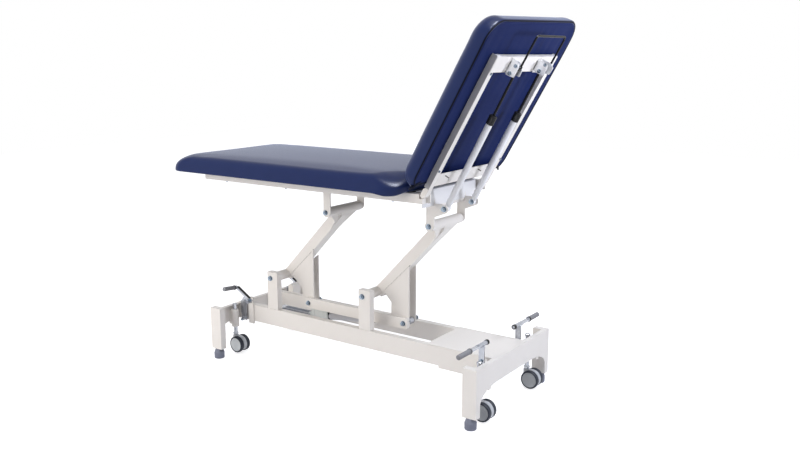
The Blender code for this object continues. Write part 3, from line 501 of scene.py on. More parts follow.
# %% Tools for new pieces
NEAR, FAR, DOWN = Vector((0, -1, 0)), Vector((0, 1, 0)), Vector((0, 0, -1))
SIDES = (("near", -1), ("far", 1))
TINY = 1e-6


def give(name, work, finishes, body, angle=35.0):
    """Turns a bmesh into a piece that rides on a body. Its finishes are listed by name."""
    bmesh.ops.remove_doubles(work, verts=work.verts, dist=TINY)
    bmesh.ops.recalc_face_normals(work, faces=work.faces)
    mesh = bpy.data.meshes.new(name)
    work.to_mesh(mesh)
    work.free()
    for title in finishes.split():
        mesh.materials.append(FINISH[title])
    mesh.shade_smooth()
    mesh.set_sharp_from_angle(angle=math.radians(angle))
    piece = bpy.data.objects.new(name, mesh)
    scene.collection.objects.link(piece)
    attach(piece, body)
    return piece


def loft(work, rings, numbers=None, ends=True):
    """Joins rings of equal count. The numbers say which finish leads up to each ring."""
    made = [[work.verts.new(point) for point in ring] for ring in rings]
    numbers = numbers or [0] * len(made)
    for first, second, number in zip(made, made[1:], numbers[1:]):
        for k in range(len(first)):
            n = (k + 1) % len(first)
            face = work.faces.new((first[k], first[n], second[n], second[k]))
            face.material_index = number
    for ring, number in ((made[0], numbers[0]), (made[-1], numbers[-1])):
        if ends and (ring[0].co - ring[1].co).length > TINY:
            work.faces.new(ring).material_index = number
    return made


def across(direction):
    """Two unit vectors that stand square to a direction and to each other."""
    ahead = Vector(direction).normalized()
    helper = Vector((0, 0, 1)) if abs(ahead.z) < 0.9 else Vector((1, 0, 0))
    side = ahead.cross(helper).normalized()
    return ahead, side, ahead.cross(side)


def circle(middle, side, up, radius, count):
    angles = [2 * math.pi * k / count for k in range(count)]
    return [middle + (side * math.cos(a) + up * math.sin(a)) * radius for a in angles]


def turn(work, profile, place, direction, segments):
    """Adds a turned shape. The profile lists (along, radius) or (along, radius, finish number)."""
    ahead, side, up = across(direction)
    rings = [circle(Vector(place) + ahead * row[0], side, up, row[1], segments) for row in profile]
    loft(work, rings, [row[2] if len(row) > 2 else 0 for row in profile])


def sweep(work, path, radius, sides, closed=False):
    """Adds a round bar along a path of points."""
    points = [Vector(point) for point in path]
    count = len(points)
    rings = []
    side = None
    for k, point in enumerate(points):
        if closed:
            ahead = (points[(k + 1) % count] - points[k - 1]).normalized()
        else:
            ahead = (points[min(k + 1, count - 1)] - points[max(k - 1, 0)]).normalized()
        side = across(ahead)[1] if side is None else (side - ahead * side.dot(ahead)).normalized()
        rings.append(circle(point, side, ahead.cross(side), radius, sides))
    loft(work, rings + rings[:1] if closed else rings, ends=not closed)


def cut_plate(work, outline, low, high, place, number=0):
    """Adds a plate: an outline in two axes of a matrix, from low to high along the third."""
    rings = [[place @ Vector((x, y, z)) for x, y in outline] for z in (low, high)]
    loft(work, rings, [number] * 2)


print("tools for solids ready")

# %% Tools for outlines
def fillet(points, radius, steps):
    """Rounds the corners of a path with short arcs."""
    points = [Vector(point) for point in points]
    soft = [points[0]]
    for before, here, after in zip(points, points[1:], points[2:]):
        entry = here + (before - here).normalized() * radius
        leave = here + (after - here).normalized() * radius
        for k in range(steps + 1):
            share = k / steps
            soft.append(entry.lerp(here, share).lerp(here.lerp(leave, share), share))
    return soft + [points[-1]]


def soft_outline(points, radius):
    """Rounds every corner of a closed outline."""
    flat = [Vector((x, y, 0)) for x, y in points]
    middle = (flat[-1] + flat[0]) / 2
    return [(point.x, point.y) for point in fillet([middle, *flat, middle], radius, 4)[:-1]]


def oblong(left, right, low, high):
    return [(left, low), (right, low), (right, high), (left, high)]


def arc(radius, first, last, step):
    """Points on a circle, by whole degrees."""
    turns = [math.radians(degrees) for degrees in range(first, last, step)]
    return [(radius * math.cos(turn_by), radius * math.sin(turn_by)) for turn_by in turns]


def rod(start, stop, radius):
    """The profile of a plain round rod, to be turned."""
    return [(start, 0.0), (start, radius), (stop, radius), (stop, 0.0)]


def eased(value):
    """A soft step from 0 to 1."""
    value = min(1.0, max(0.0, value))
    return value * value * (3 - 2 * value)


print("tools for outlines ready")

# %% [markdown]
# The backrest is easiest to draw lying flat. Its own axes run up the backrest from the hinge, across,
# and out of the padded face. One matrix turns such a drawing into place. Two more lay a plate on edge,
# so that an outline is drawn from the side or along the backrest.

# %% The backrest's own axes
HINGE = Vector((0.45513, 0.0, 0.840))
BACK_ANGLE = math.radians(60.3)
REAR = -0.0113
on_back = Matrix.Translation(HINGE) @ Matrix.Rotation(-BACK_ANGLE, 4, "Y")
side_on = Matrix(((1, 0, 0, 0), (0, 0, 1, 0), (0, 1, 0, 0), (0, 0, 0, 1)))
on_side = on_back @ side_on
across_back = on_back @ Matrix(((0, 0, 1, 0), (1, 0, 0, 0), (0, 1, 0, 0), (0, 0, 0, 1)))
rear_out = (on_back.to_3x3() @ Vector((0, 0, -1))).normalized()


def on_rear(s, y, n=REAR):
    """A point on the rear side of the backrest, from its own axes."""
    return on_back @ Vector((s, y, n))


print("backrest leans", round(math.degrees(BACK_ANGLE), 1), "degrees")

# %% [markdown]
# The pads are foam under tight navy vinyl. A pad is drawn as rings: a tucked lower edge, a short
# upright side, a roll and a crowned top. Each end has its own corner radius, tuck and roll, because
# the foot end is drawn out to a wedge and the end at the hinge is rounded underneath as well. A
# short cloth run then blows the cover up from inside while its underside is held, so that the vinyl
# takes a soft, even tension. How far a point may move is capped, and the movement is evened out.

# %% Draw a pad as rings
CROWN = 0.006
LESS = 0.004
UPRIGHT = 0.26
POINT_GAP = 0.014
BALL_LONG, BALL_WIDE, BALL_FADE, BALL_POWER = 0.12, 0.14, 0.10, 1.8
LOW_HEIGHTS = (0.0, 0.0004, 0.0015, 0.0035, 0.0065, 0.011)
UNDER_SHARES = (0.05, 0.2, 0.4, 0.6, 0.78, 0.9, 0.975)
OVER_SHARES = (0.93, 0.84, 0.73, 0.60, 0.46, 0.31, 0.16, 0.05)


def pad_outline(low, high, half, corner_low, corner_high):
    """Points about evenly spaced round a rectangle that has its own corner radius at each end."""
    points = []
    for cx, cy, radius, first in (
        (high - corner_high, half - corner_high, corner_high, 0),
        (low + corner_low, half - corner_low, corner_low, 90),
        (low + corner_low, corner_low - half, corner_low, 180),
        (high - corner_high, corner_high - half, corner_high, 270),
    ):
        for k in range(13):
            angle = math.radians(first + 7.5 * k)
            points.append(Vector((cx + radius * math.cos(angle), cy + radius * math.sin(angle), 0)))
    even = []
    for here, after in zip(points, points[1:] + points[:1]):
        parts = max(1, round((after - here).length / POINT_GAP))
        even += [here.lerp(after, k / parts) for k in range(parts)]
    return even


def tucked(height, tuck):
    """How far the lower edge is drawn in at a height: a quarter round of this radius."""
    share = max(0.0, 1 - height / tuck)
    return tuck * (1 - math.sqrt(1 - share * share))


def rolled(share, roll, power):
    """How far the upper edge is rolled in. A power over 2 gives a fuller edge, under 2 a wedge."""
    return roll * (1 - max(0.0, 1 - share**power) ** (1 / power))


def pad_ring(pad, height, less=0.0):
    """One ring of a pad. The tuck, roll and power of a pad are listed as low end, sides, high end."""
    low, high, half = pad["low"] + less, pad["high"] - less, pad["half"] - less
    thick = pad["thick"] - less
    side = thick * UPRIGHT
    rise = thick - CROWN - side
    share = min(1.0, (height - side) / rise)
    insets = []
    for tuck, roll, power in zip(pad["tuck"], pad["roll"], pad["power"]):
        insets.append(tucked(height, tuck) if height <= side else rolled(share, roll, power))
    middle, reach = (low + high) / 2, (high - low) / 2
    ring = []
    for point in pad_outline(low, high, half, *pad["corner"]):
        end = insets[0] if point.x < middle else insets[2]
        beside = insets[1]
        if height > side:
            ball = rolled(share, pad["ball"], BALL_POWER)
            near_end = eased((point.x - high + BALL_LONG) / BALL_FADE)
            near_corner = near_end * eased((abs(point.y) - half + BALL_WIDE) / BALL_FADE)
            end += max(0.0, ball - end) * near_corner
            beside += max(0.0, ball - beside) * near_corner
        x = middle + (point.x - middle) * (reach - end) / reach
        ring.append(Vector((x, point.y * (half - beside) / half, height)))
    return ring


def pad_mesh(pad, less):
    thick = pad["thick"] - less
    side = thick * UPRIGHT
    heights = [*LOW_HEIGHTS, side * 0.75, side]
    rise = thick - CROWN - side
    heights += [side + rise * math.sin(math.radians(6 * k)) for k in range(1, 16)]
    rings = [pad_ring(pad, height, less) for height in heights]
    centre = Vector(((pad["low"] + pad["high"]) / 2, 0, 0))
    under, over = [], []
    for share in UNDER_SHARES:
        sunk = Vector((0, 0, pad["sunk"] if share < UNDER_SHARES[-1] else 0.0))
        under.append([centre.lerp(p, share) * Vector((1, 1, 0)) + sunk for p in rings[0]])
    for share in OVER_SHARES:
        lift = Vector((0, 0, thick - CROWN * share * share))
        over.append([centre.lerp(Vector((p.x, p.y, 0)), share) + lift for p in rings[-1]])
    work = bmesh.new()
    made = loft(work, under + rings + over, ends=False)
    for ring, height in ((made[0], pad["sunk"]), (made[-1], thick)):
        hub = work.verts.new(centre + Vector((0, 0, height)))
        for k in range(len(ring)):
            work.faces.new((ring[k], ring[(k + 1) % len(ring)], hub))
    bmesh.ops.recalc_face_normals(work, faces=work.faces)
    mesh = bpy.data.meshes.new("pad_form")
    work.to_mesh(mesh)
    work.free()
    return mesh


print("pad drawing ready")

# %% Blow the cover up with a short cloth run
CLOTH_STEPS = 20
EVENING_ROUNDS = 14
HELD_BELOW = 0.006
PRESSURE, MOVE_CAP = 4.0, 0.009


def stuffed(name, mesh):
    """Swells a pad by cloth pressure with its underside held, and keeps a capped, evened movement."""
    blown = bpy.data.objects.new(name + "_blown", mesh)
    scene.collection.objects.link(blown)
    held = blown.vertex_groups.new(name="held")
    held.add([v.index for v in mesh.vertices if v.co.z < HELD_BELOW], 1.0, "REPLACE")
    cloth = blown.modifiers.new("cover", "CLOTH")
    cloth.settings.use_pressure = True
    cloth.settings.uniform_pressure_force = PRESSURE
    cloth.settings.vertex_group_mass = "held"
    cloth.settings.effector_weights.gravity = 0.0
    cloth.collision_settings.use_collision = False
    cloth.point_cache.frame_start = 1
    cloth.point_cache.frame_end = CLOTH_STEPS
    for step in range(1, CLOTH_STEPS + 1):
        scene.frame_set(step)
    graph = bpy.context.evaluated_depsgraph_get()
    moved = [vertex.co.copy() for vertex in blown.evaluated_get(graph).to_mesh().vertices]
    ways = [goal - vertex.co for vertex, goal in zip(mesh.vertices, moved)]
    most = max(way.length for way in ways)
    ways = [way * (MOVE_CAP / (MOVE_CAP + way.length)) for way in ways]
    beside = [[] for _ in ways]
    for edge in mesh.edges:
        first, second = edge.vertices
        beside[first].append(second)
        beside[second].append(first)
    for _ in range(EVENING_ROUNDS):
        ways = [
            sum((ways[k] for k in beside[j]), way.copy()) / (len(beside[j]) + 1)
            for j, way in enumerate(ways)
        ]
    for vertex, way in zip(mesh.vertices, ways):
        vertex.co += way
    blown.modifiers.clear()
    bpy.data.objects.remove(blown)
    scene.frame_set(1)
    print(name, len(mesh.vertices), "points, moved up to", round(most * 1000, 1), "mm before the cap")


print("cover takes", CLOTH_STEPS, "cloth steps")

# %% Size, crown and gather the cover
DOME_EDGE, DOME_ABOVE = 0.3, 0.7
PLEATS, PLEAT_HEIGHT, PLEAT_DEPTH = 26, 0.04, 0.0012


def fit(mesh, pad):
    """Brings a swollen pad back to the size of its drawing."""
    lows = (pad["low"], -pad["half"], 0.0)
    highs = (pad["high"], pad["half"], pad["thick"])
    for axis, (low, high) in enumerate(zip(lows, highs)):
        least = min(vertex.co[axis] for vertex in mesh.vertices)
        most = max(vertex.co[axis] for vertex in mesh.vertices)
        for vertex in mesh.vertices:
            vertex.co[axis] = low + (vertex.co[axis] - least) * (high - low) / (most - least)


def domed(mesh, pad):
    """Gives the top of a pad one smooth crown, without ridges towards its corners."""
    edge = pad_ring(pad, pad["thick"] - CROWN)
    least, most = min(point.x for point in edge), max(point.x for point in edge)
    half = max(point.y for point in edge)
    for vertex in mesh.vertices:
        x, y, z = vertex.co
        u, v = (2 * x - least - most) / (most - least), y / half
        inside = eased((1 - max(abs(u), abs(v))) / DOME_EDGE)
        if z > DOME_ABOVE * pad["thick"]:
            dome = pad["thick"] - CROWN + CROWN * (1 - u * u) * (1 - v * v)
            vertex.co.z += (dome - z) * inside


def gather(mesh, pad):
    """Draws small pleats in along the lower edge at the corners, where the cover is folded under."""
    middle = (pad["low"] + pad["high"]) / 2
    for vertex in mesh.vertices:
        x, y, z = vertex.co
        radius = max(0.05, pad["corner"][0 if x < middle else 1])
        cx = pad["low"] + radius if x < middle else pad["high"] - radius
        cy = math.copysign(pad["half"] - radius, y)
        out = Vector((x - cx, y - cy, 0))
        if z > PLEAT_HEIGHT or (x - cx) * (x - middle) < 0 or out.y * y < 0 or out.length < TINY:
            continue
        angle = math.atan2(abs(out.y), abs(out.x))
        fade = max(0.0, 1 - z / PLEAT_HEIGHT) ** 1.5 * min(1.0, out.length / radius) ** 4
        fade *= math.sin(2 * angle)
        wave = math.sin(angle * PLEATS + 2.5 * noise.noise(Vector((x * 20, y * 20, 3.0))))
        vertex.co += out.normalized() * PLEAT_DEPTH * fade * wave


def padded_form(name, pad):
    mesh = pad_mesh(pad, LESS)
    stuffed(name, mesh)
    fit(mesh, pad)
    domed(mesh, pad)
    gather(mesh, pad)
    return mesh


def pad_piece(name, mesh, place, body, node):
    mesh.transform(place)
    mesh.materials.append(FINISH["navy_vinyl"])
    mesh.shade_smooth()
    piece = bpy.data.objects.new(name, mesh)
    scene.collection.objects.link(piece)
    smooth = piece.modifiers.new("finer", "SUBSURF")
    smooth.levels = smooth.render_levels = 1
    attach(piece, body)
    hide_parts(node)


print("cover has", PLEATS, "pleats to a turn")

# %% Seat pad
SEAT_SAG = 0.010
low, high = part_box("seat_pad")
SEAT = {
    "low": low.x, "high": high.x, "half": high.y, "thick": high.z - low.z,
    "corner": (0.066, 0.100), "tuck": (0.007, 0.007, 0.032), "roll": (0.098, 0.034, 0.042),
    "power": (1.70, 3.2, 2.4), "sunk": 0.0, "ball": 0.070,
}
mesh = padded_form("seat", SEAT)
for vertex in mesh.vertices:
    x, y, z = vertex.co
    at_corner = eased((x - SEAT["high"] + 0.12) / 0.06) * eased((abs(y) - 0.245) / 0.05)
    vertex.co.z -= SEAT_SAG * at_corner * eased(1 - z / 0.03)
pad_piece("seat_cover", mesh, Matrix.Translation((0, 0, low.z)), "seat", "seat_pad")
print("seat pad", round((SEAT["high"] - SEAT["low"]) * 1000), "mm long")

# %% Back pad
SKEW = 0.008
CORNER_PULL = 0.009
BACK = {
    "low": 0.036, "high": 0.719, "half": 0.336, "thick": 0.0925,
    "corner": (0.046, 0.076), "tuck": (0.024, 0.008, 0.010), "roll": (0.060, 0.055, 0.055),
    "power": (2.0, 2.0, 2.1), "sunk": 0.004, "ball": 0.0,
}
behind = on_back @ Matrix.Translation((0, 0, -REAR))


def drawn(point):
    """Pulls the lower corners of the back pad down, as folded cover does, and skews its top."""
    point.x += SKEW * point.y / BACK["half"] * eased((point.x - 0.45) / 0.22)
    at_end = eased((BACK["low"] + 0.055 - point.x) / 0.05)
    pull = at_end * eased((abs(point.y) - BACK["half"] + 0.07) / 0.06)
    point.x -= CORNER_PULL * pull * eased(1 - point.z / 0.035)


mesh = padded_form("back", BACK)
for vertex in mesh.vertices:
    drawn(vertex.co)
pad_piece("back_cover", mesh, behind, "backrest", "back_pad")
print("back pad", round((BACK["high"] - BACK["low"]) * 1000), "mm long")

# %% [markdown]
# Behind the backrest a dark welt closes the cover: a thin piped cord between the side of the pad and
# its rear panel. The cord is a bar swept along the rear outline, and short bars lie in the folds at
# its lower corners. Cord and folds are painted near black, which paints in the shade of the crease
# between side and panel. The panel is a grid that is pulled to that outline, with long shallow folds,
# and the cord hides its edge.

# %% Welt and rear panel of the back pad
EDGE_HEIGHT = 0.0016
edge_path = pad_ring(BACK, EDGE_HEIGHT)
for point in edge_path:
    drawn(point)
work = bmesh.new()
heights = [0.0010 + 0.0017 * eased((point.x - 0.58) / 0.09) for point in edge_path]
cord = [behind @ Vector((p.x, p.y, height)) for p, height in zip(edge_path, heights)]
sweep(work, cord, 0.0033, 10, closed=True)
foot, half = BACK["low"], BACK["half"]
for side in (-1, 1):
    for k in range(4):
        fold = [
            (foot - 0.002 + 0.006 * k, side * (half - 0.004 - 0.004 * k), 0.006),
            (foot + 0.002 + 0.006 * k, side * (half - 0.012 - 0.006 * k), -0.001),
            (foot + 0.014 + 0.004 * k, side * (half - 0.032 - 0.008 * k), 0.001),
        ]
        sweep(work, fillet([behind @ Vector(point) for point in fold], 0.006, 4), 0.0034, 8)
give("back_welt", work, "welt_vinyl_with_crease_shade", "backrest", 60)

ROWS, COLUMNS = 56, 54
PANEL_CORNERS = (0.020, 0.078)
least, most = BACK["low"] + 0.020, BACK["high"] - 0.008
wide = BACK["half"] - 0.007


def panel_point(i, j):
    """A point of the rear panel, drawn in at its round corners and raised by its folds."""
    x = least + (most - least) * i / ROWS
    y = wide * (2 * j / COLUMNS - 1)
    radius = PANEL_CORNERS[0 if i < ROWS / 2 else 1]
    cx = least + radius if i < ROWS / 2 else most - radius
    cy = math.copysign(wide - radius, y)
    out = Vector((x - cx, y - cy))
    if (x - cx) * (i - ROWS / 2) > 0 and out.y * y > 0 and out.length > radius:
        x, y = Vector((cx, cy)) + out.normalized() * radius
    inside = eased((wide - abs(y)) / 0.05) * eased((x - least) / 0.05) * eased((most - x) / 0.05)
    crease = max(0.0, 1 - 5 * abs(noise.noise(Vector((x * 1.3, y * 15.0, 0.7)))))
    ripple = noise.noise(Vector((x * 4.0, y * 31.0, 5.0)))
    point = Vector((x, y, inside * (0.0014 + 0.0016 * crease + 0.0006 * ripple) - 0.0006))
    drawn(point)
    return behind @ point


work = bmesh.new()
sheet = [[work.verts.new(panel_point(i, j)) for j in range(COLUMNS + 1)] for i in range(ROWS + 1)]
for i in range(ROWS):
    for j in range(COLUMNS):
        first, second = sheet[i], sheet[i + 1]
        work.faces.new((first[j], second[j], second[j + 1], first[j + 1]))
panel = give("back_panel", work, "panel_vinyl", "backrest", 80)
if panel.data.polygons[0].normal.dot(behind.to_3x3() @ Vector((0, 0, 1))) > 0:
    panel.data.flip_normals()
wall = panel.modifiers.new("sheet thickness", "SOLIDIFY")
wall.thickness = 0.0012
wall.offset = -1.0
print("welt of", len(edge_path), "points, rear panel of", ROWS * COLUMNS, "squares")

# %% [markdown]
# Bolts, stitches and weld beads repeat, so Geometry Nodes make them. One tree puts a hexagon with a
# washer and a stud on every point of a mesh. Each point carries its own turn and size as attributes.
# A second tree lays beads along a path. Their sizes are named inputs, and the result is turned into
# a plain mesh before it joins the table.

# %% Helpers for Geometry Nodes
GEOMETRY = "NodeSocketGeometry"


def geometry_tree(name, sizes):
    tree = bpy.data.node_groups.new(name, "GeometryNodeTree")
    sockets = tree.interface
    sockets.new_socket("Geometry", in_out="INPUT", socket_type=GEOMETRY)
    for label, value in sizes.items():
        sockets.new_socket(label, in_out="INPUT", socket_type=NUMBER).default_value = value
    sockets.new_socket("Finish", in_out="INPUT", socket_type="NodeSocketMaterial")
    sockets.new_socket("Geometry", in_out="OUTPUT", socket_type=GEOMETRY)
    return tree, put(tree, "NodeGroupInput").outputs, put(tree, "NodeGroupOutput").inputs


def close_tree(tree, given, taken, points, shape, rotation, scale, smooth):
    """Ends a tree: the shape on every point, made real, shaded and given its finish."""
    placed = put(tree, "GeometryNodeInstanceOnPoints")
    whole = put(tree, "GeometryNodeRealizeInstances")
    shaded = put(tree, "GeometryNodeSetShadeSmooth", {"Shade Smooth": smooth})
    coated = put(tree, "GeometryNodeSetMaterial")
    wire(
        tree, (points, placed.inputs["Points"]), (shape, placed.inputs["Instance"]),
        (rotation, placed.inputs["Rotation"]), (scale, placed.inputs["Scale"]),
        (placed.outputs[0], whole.inputs[0]), (whole.outputs[0], shaded.inputs["Geometry"]),
        (shaded.outputs[0], coated.inputs["Geometry"]), (given["Finish"], coated.inputs["Material"]),
        (coated.outputs[0], taken[0]),
    )
    print("tree", tree.name)


def sum_of(tree, first, second, factor=1.0):
    """first times factor, plus second."""
    node = put(tree, "ShaderNodeMath", {1: factor}, operation="MULTIPLY_ADD")
    feed(tree, (first, node.inputs[0]), (second, node.inputs[2]))
    return node.outputs[0]


def stacked(tree, sides, radius, height, below):
    """A prism that stands on the height below it."""
    prism = put(tree, "GeometryNodeMeshCylinder", {"Vertices": sides})
    lift = put(tree, "ShaderNodeCombineXYZ")
    move = put(tree, "GeometryNodeTransform")
    wire(
        tree, (radius, prism.inputs["Radius"]), (height, prism.inputs["Depth"]),
        (sum_of(tree, height, below, 0.5), lift.inputs["Z"]),
        (prism.outputs["Mesh"], move.inputs["Geometry"]),
        (lift.outputs[0], move.inputs["Translation"]),
    )
    return move.outputs["Geometry"]


print("tree helpers ready")

# %% Geometry Nodes: hexagon fasteners
hexagons, given, taken = geometry_tree("hexagon_fasteners", {
    "Head Radius": 0.0100, "Head Height": 0.0070, "Washer Radius": 0.0120,
    "Washer Height": 0.0016, "Stud Radius": 0.0055, "Stud Height": 0.0022,
})
washer, head = given["Washer Height"], given["Head Height"]
on_head = sum_of(hexagons, head, washer)
crown = sum_of(hexagons, head, 0.0, 0.14)
crown_radius = sum_of(hexagons, given["Head Radius"], 0.0, 0.80)
parts = put(hexagons, "GeometryNodeJoinGeometry")
for sides, radius, height, below in (
    (20, given["Washer Radius"], washer, 0.0), (6, given["Head Radius"], head, washer),
    (16, crown_radius, crown, on_head),
    (12, given["Stud Radius"], given["Stud Height"], sum_of(hexagons, crown, on_head)),
):
    wire(hexagons, (stacked(hexagons, sides, radius, height, below), parts.inputs[0]))
ATTRIBUTE = "GeometryNodeInputNamedAttribute"
turned_by = put(hexagons, ATTRIBUTE, {"Name": "turn"}, data_type="FLOAT_VECTOR")
sized_by = put(hexagons, ATTRIBUTE, {"Name": "size"}, data_type="FLOAT")
as_rotation = put(hexagons, "FunctionNodeEulerToRotation")
wire(hexagons, (turned_by.outputs["Attribute"], as_rotation.inputs[0]))
close_tree(
    hexagons, given, taken, given["Geometry"], parts.outputs[0], as_rotation.outputs[0],
    sized_by.outputs["Attribute"], False,
)

# %% Geometry Nodes: beads along a path, for stitches and welds
BEAD_SIZES = ("Spacing", "Bead Length", "Bead Width")
beads, given, taken = geometry_tree("beads_along_path", dict(zip(BEAD_SIZES, (0.004, 0.003, 0.001))))
to_curve = put(beads, "GeometryNodeMeshToCurve")
spaced = put(beads, "GeometryNodeResampleCurve", mode="LENGTH")
bead = put(beads, "GeometryNodeMeshUVSphere", {"Segments": 6, "Rings": 4, "Radius": 0.5})
shape_of = put(beads, "ShaderNodeCombineXYZ")
along = put(beads, "FunctionNodeAlignRotationToVector", axis="Z")
wire(
    beads, (given["Geometry"], to_curve.inputs[0]), (to_curve.outputs[0], spaced.inputs["Curve"]),
    (given["Spacing"], spaced.inputs["Length"]), (given["Bead Width"], shape_of.inputs["X"]),
    (given["Bead Width"], shape_of.inputs["Y"]), (given["Bead Length"], shape_of.inputs["Z"]),
    (put(beads, "GeometryNodeInputTangent").outputs[0], along.inputs["Vector"]),
)
close_tree(
    beads, given, taken, spaced.outputs[0], bead.outputs["Mesh"], along.outputs[0],
    shape_of.outputs[0], True,
)

# %% Run a tree on points and hand over a plain mesh
LAND_REACH = 0.05
FIRST_SPIN, SPIN_STEP = 0.4, 0.7


def grown(name, tree, points, edges, values, body, turns=None, sizes=None):
    seed = bpy.data.meshes.new(name + "_seed")
    seed.from_pydata(points, edges, [])
    if turns:
        flat = [number for turn_by in turns for number in turn_by]
        seed.attributes.new("turn", "FLOAT_VECTOR", "POINT").data.foreach_set("vector", flat)
        seed.attributes.new("size", "FLOAT", "POINT").data.foreach_set("value", sizes)
    holder = bpy.data.objects.new(name, seed)
    scene.collection.objects.link(holder)
    modifier = holder.modifiers.new("grown", "NODES")
    modifier.node_group = tree
    for item in tree.interface.items_tree:
        if item.in_out == "INPUT" and item.name in values:
            modifier[item.identifier] = values[item.name]
    graph = bpy.context.evaluated_depsgraph_get()
    mesh = bpy.data.meshes.new_from_object(holder.evaluated_get(graph))
    holder.modifiers.clear()
    holder.data = mesh
    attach(holder, body)


def bead_row(name, path, closed, sizes, title, body):
    """Lays beads of a finish along a path. The sizes are spacing, length and width."""
    count = len(path)
    edges = [(k, (k + 1) % count) for k in range(count if closed else count - 1)]
    values = dict(zip(BEAD_SIZES, sizes), Finish=FINISH[title])
    grown(name, beads, path, edges, values, body)


def land(node, point, direction):
    """Where a fastener that comes along its own axis from outside meets a solid."""
    mesh = solids[node].data
    corners, faces = [v.co for v in mesh.vertices], [p.vertices for p in mesh.polygons]
    ahead = Vector(direction).normalized()
    ray = BVHTree.FromPolygons(corners, faces).ray_cast
    return ray(Vector(point) + ahead * LAND_REACH, -ahead, 2 * LAND_REACH)[0] or Vector(point)


def bolts(name, body, places):
    """places lists (solid to land on or None, point, direction, size)."""
    points, turns, sizes = [], [], []
    for k, (node, point, direction, size) in enumerate(places):
        points.append(land(node, point, direction) if node else Vector(point))
        stand = Vector(direction).to_track_quat("Z", "Y")
        spin = Matrix.Rotation(FIRST_SPIN + SPIN_STEP * k, 3, "Z").to_quaternion()
        turns.append((stand @ spin).to_euler())
        sizes.append(size)
    grown(name, hexagons, points, [], {"Finish": FINISH["blue_zinc"]}, body, turns, sizes)


print("bolts and bead rows ready")

# %% [markdown]
# The pivots of the lift show as bright hexagon bolts with a bluish zinc coat: four on the posts, four
# on the hangers, two on the tie bar. Smaller ones hold the struts and the rails. A bolt comes in along
# its axis until it meets the solid that carries it.

# %% Bolts and screws
LOW_PIVOT = {"foot": -0.43167, "head": 0.08703}
HIGH_PIVOT = {"foot": -0.11439, "head": 0.40433}
CRANK = {"foot": -0.28334, "head": 0.23536}
LOW_Z, HIGH_Z, CRANK_Z = 0.3667, 0.69756, 0.25614
STRUT_X, STRUT_Z = 0.47363, 0.7733

on_posts, on_seat = [], []
for side, sign in SIDES:
    out = Vector((0, sign, 0))
    for end in ("foot", "head"):
        on_posts.append((f"post_{end}_{side}", (LOW_PIVOT[end], 0.132 * sign, LOW_Z), out, 1.0))
        on_seat.append((f"hanger_{end}_{side}", (HIGH_PIVOT[end], 0.118 * sign, HIGH_Z), out, 0.95))
    on_seat.append((f"hanger_head_{side}", (STRUT_X, 0.118 * sign, STRUT_Z), out, 0.95))
    on_seat.append((None, (STRUT_X, 0.0878 * sign, STRUT_Z), -out, 0.90))
    for x in (-0.589, -0.24, 0.310):
        on_seat.append((f"seat_rail_{side}", (x, 0.2225 * sign, 0.8075), DOWN, 0.5))
bolts("post_bolts", "base", on_posts)
bolts("seat_bolts", "seat", on_seat)
on_tie = [("tie_bar", (x, -0.0475, CRANK_Z), NEAR, 0.95) for x in CRANK.values()]
bolts("tie_bolts", "tie_bar", on_tie)
for end, x in CRANK.items():
    bolts(f"crank_nut_{end}", f"lift_arm_{end}", [(f"lift_arm_{end}", (x, 0.03, CRANK_Z), FAR, 0.95)])
screws = [(s, sign * y) for s, y in ((0.520, 0.221), (0.116, 0.231)) for sign in (-1, 1)]
bolts("backrest_bolts", "backrest", [(None, on_rear(s, y), rear_out, 0.45) for s, y in screws])
print(len(on_posts) + len(on_seat), "bolts on posts and seat,", len(screws), "screws on the backrest")

# %% [markdown]
# Thin dark joints tell where plates meet: along each lift arm, where the gusset lies against the box
# tube, and on the lower cross plate of the backrest. They are narrow strips, a third of a millimetre
# proud, with a row of weld beads beside those of the arms.

# %% Joint lines and weld beads
ARM_SPACING = 0.5187
WELD_PARTS = 24
WELD_SIZES = (0.0032, 0.0042, 0.0022)
PROUD, SUNK = 0.0003, -0.0002


def strip(work, first, second, wide, out):
    """Adds a narrow flat strip between two points on a face that looks along out."""
    first, second, out = Vector(first), Vector(second), Vector(out).normalized()
    ahead = (second - first).normalized()
    place = Matrix((ahead, out.cross(ahead), out)).transposed().to_4x4()
    place.translation = first
    long = (second - first).length
    half = wide / 2
    outline = [(0, -half), (long, -half), (long + half, -half / 3), (long + half, half / 3)]
    outline += [(long, half), (0, half), (-half, half / 3), (-half, -half / 3)]
    cut_plate(work, outline, SUNK, PROUD, place)


for end, shift in (("foot", 0.0), ("head", ARM_SPACING)):
    work = bmesh.new()
    for y, out in ((-0.0285, NEAR), (0.0285, FAR)):
        strip(work, (-0.389 + shift, y, 0.3815), (-0.262 + shift, y, 0.5035), 0.0024, out)
        # A small dark disc near the top of each arm paints the shade where the arm's flare meets the
        # tube.
        painted_shade_spot = [(0, 0.0042), (PROUD, 0.0042), (PROUD, 0.0)]
        turn(work, painted_shade_spot, (-0.142 + shift, y, 0.664), out, 14)
    give(f"arm_joint_{end}", work, "shadow_gap", f"lift_arm_{end}")
    for side, sign in SIDES:
        y = 0.0289 * sign
        first, last = Vector((-0.392 + shift, y, 0.3785)), Vector((-0.268 + shift, y, 0.4975))
        path = [first.lerp(last, k / WELD_PARTS) for k in range(WELD_PARTS + 1)]
        arm = f"lift_arm_{end}"
        bead_row(f"arm_weld_{end}_{side}", path, False, WELD_SIZES, "ivory_coat", arm)
work = bmesh.new()
for first, last, wide in (
    ((0.0882, -0.1652), (0.0730, -0.1293), 0.0042), ((0.0730, -0.1293), (0.0588, -0.1237), 0.0014),
    ((0.0866, 0.0771), (0.0732, 0.1123), 0.0042),
):
    strip(work, on_rear(*first), on_rear(*last), wide, rear_out)
give("low_plate_joints", work, "shadow_gap", "backrest")
print("joint lines on both arms and the lower plate")

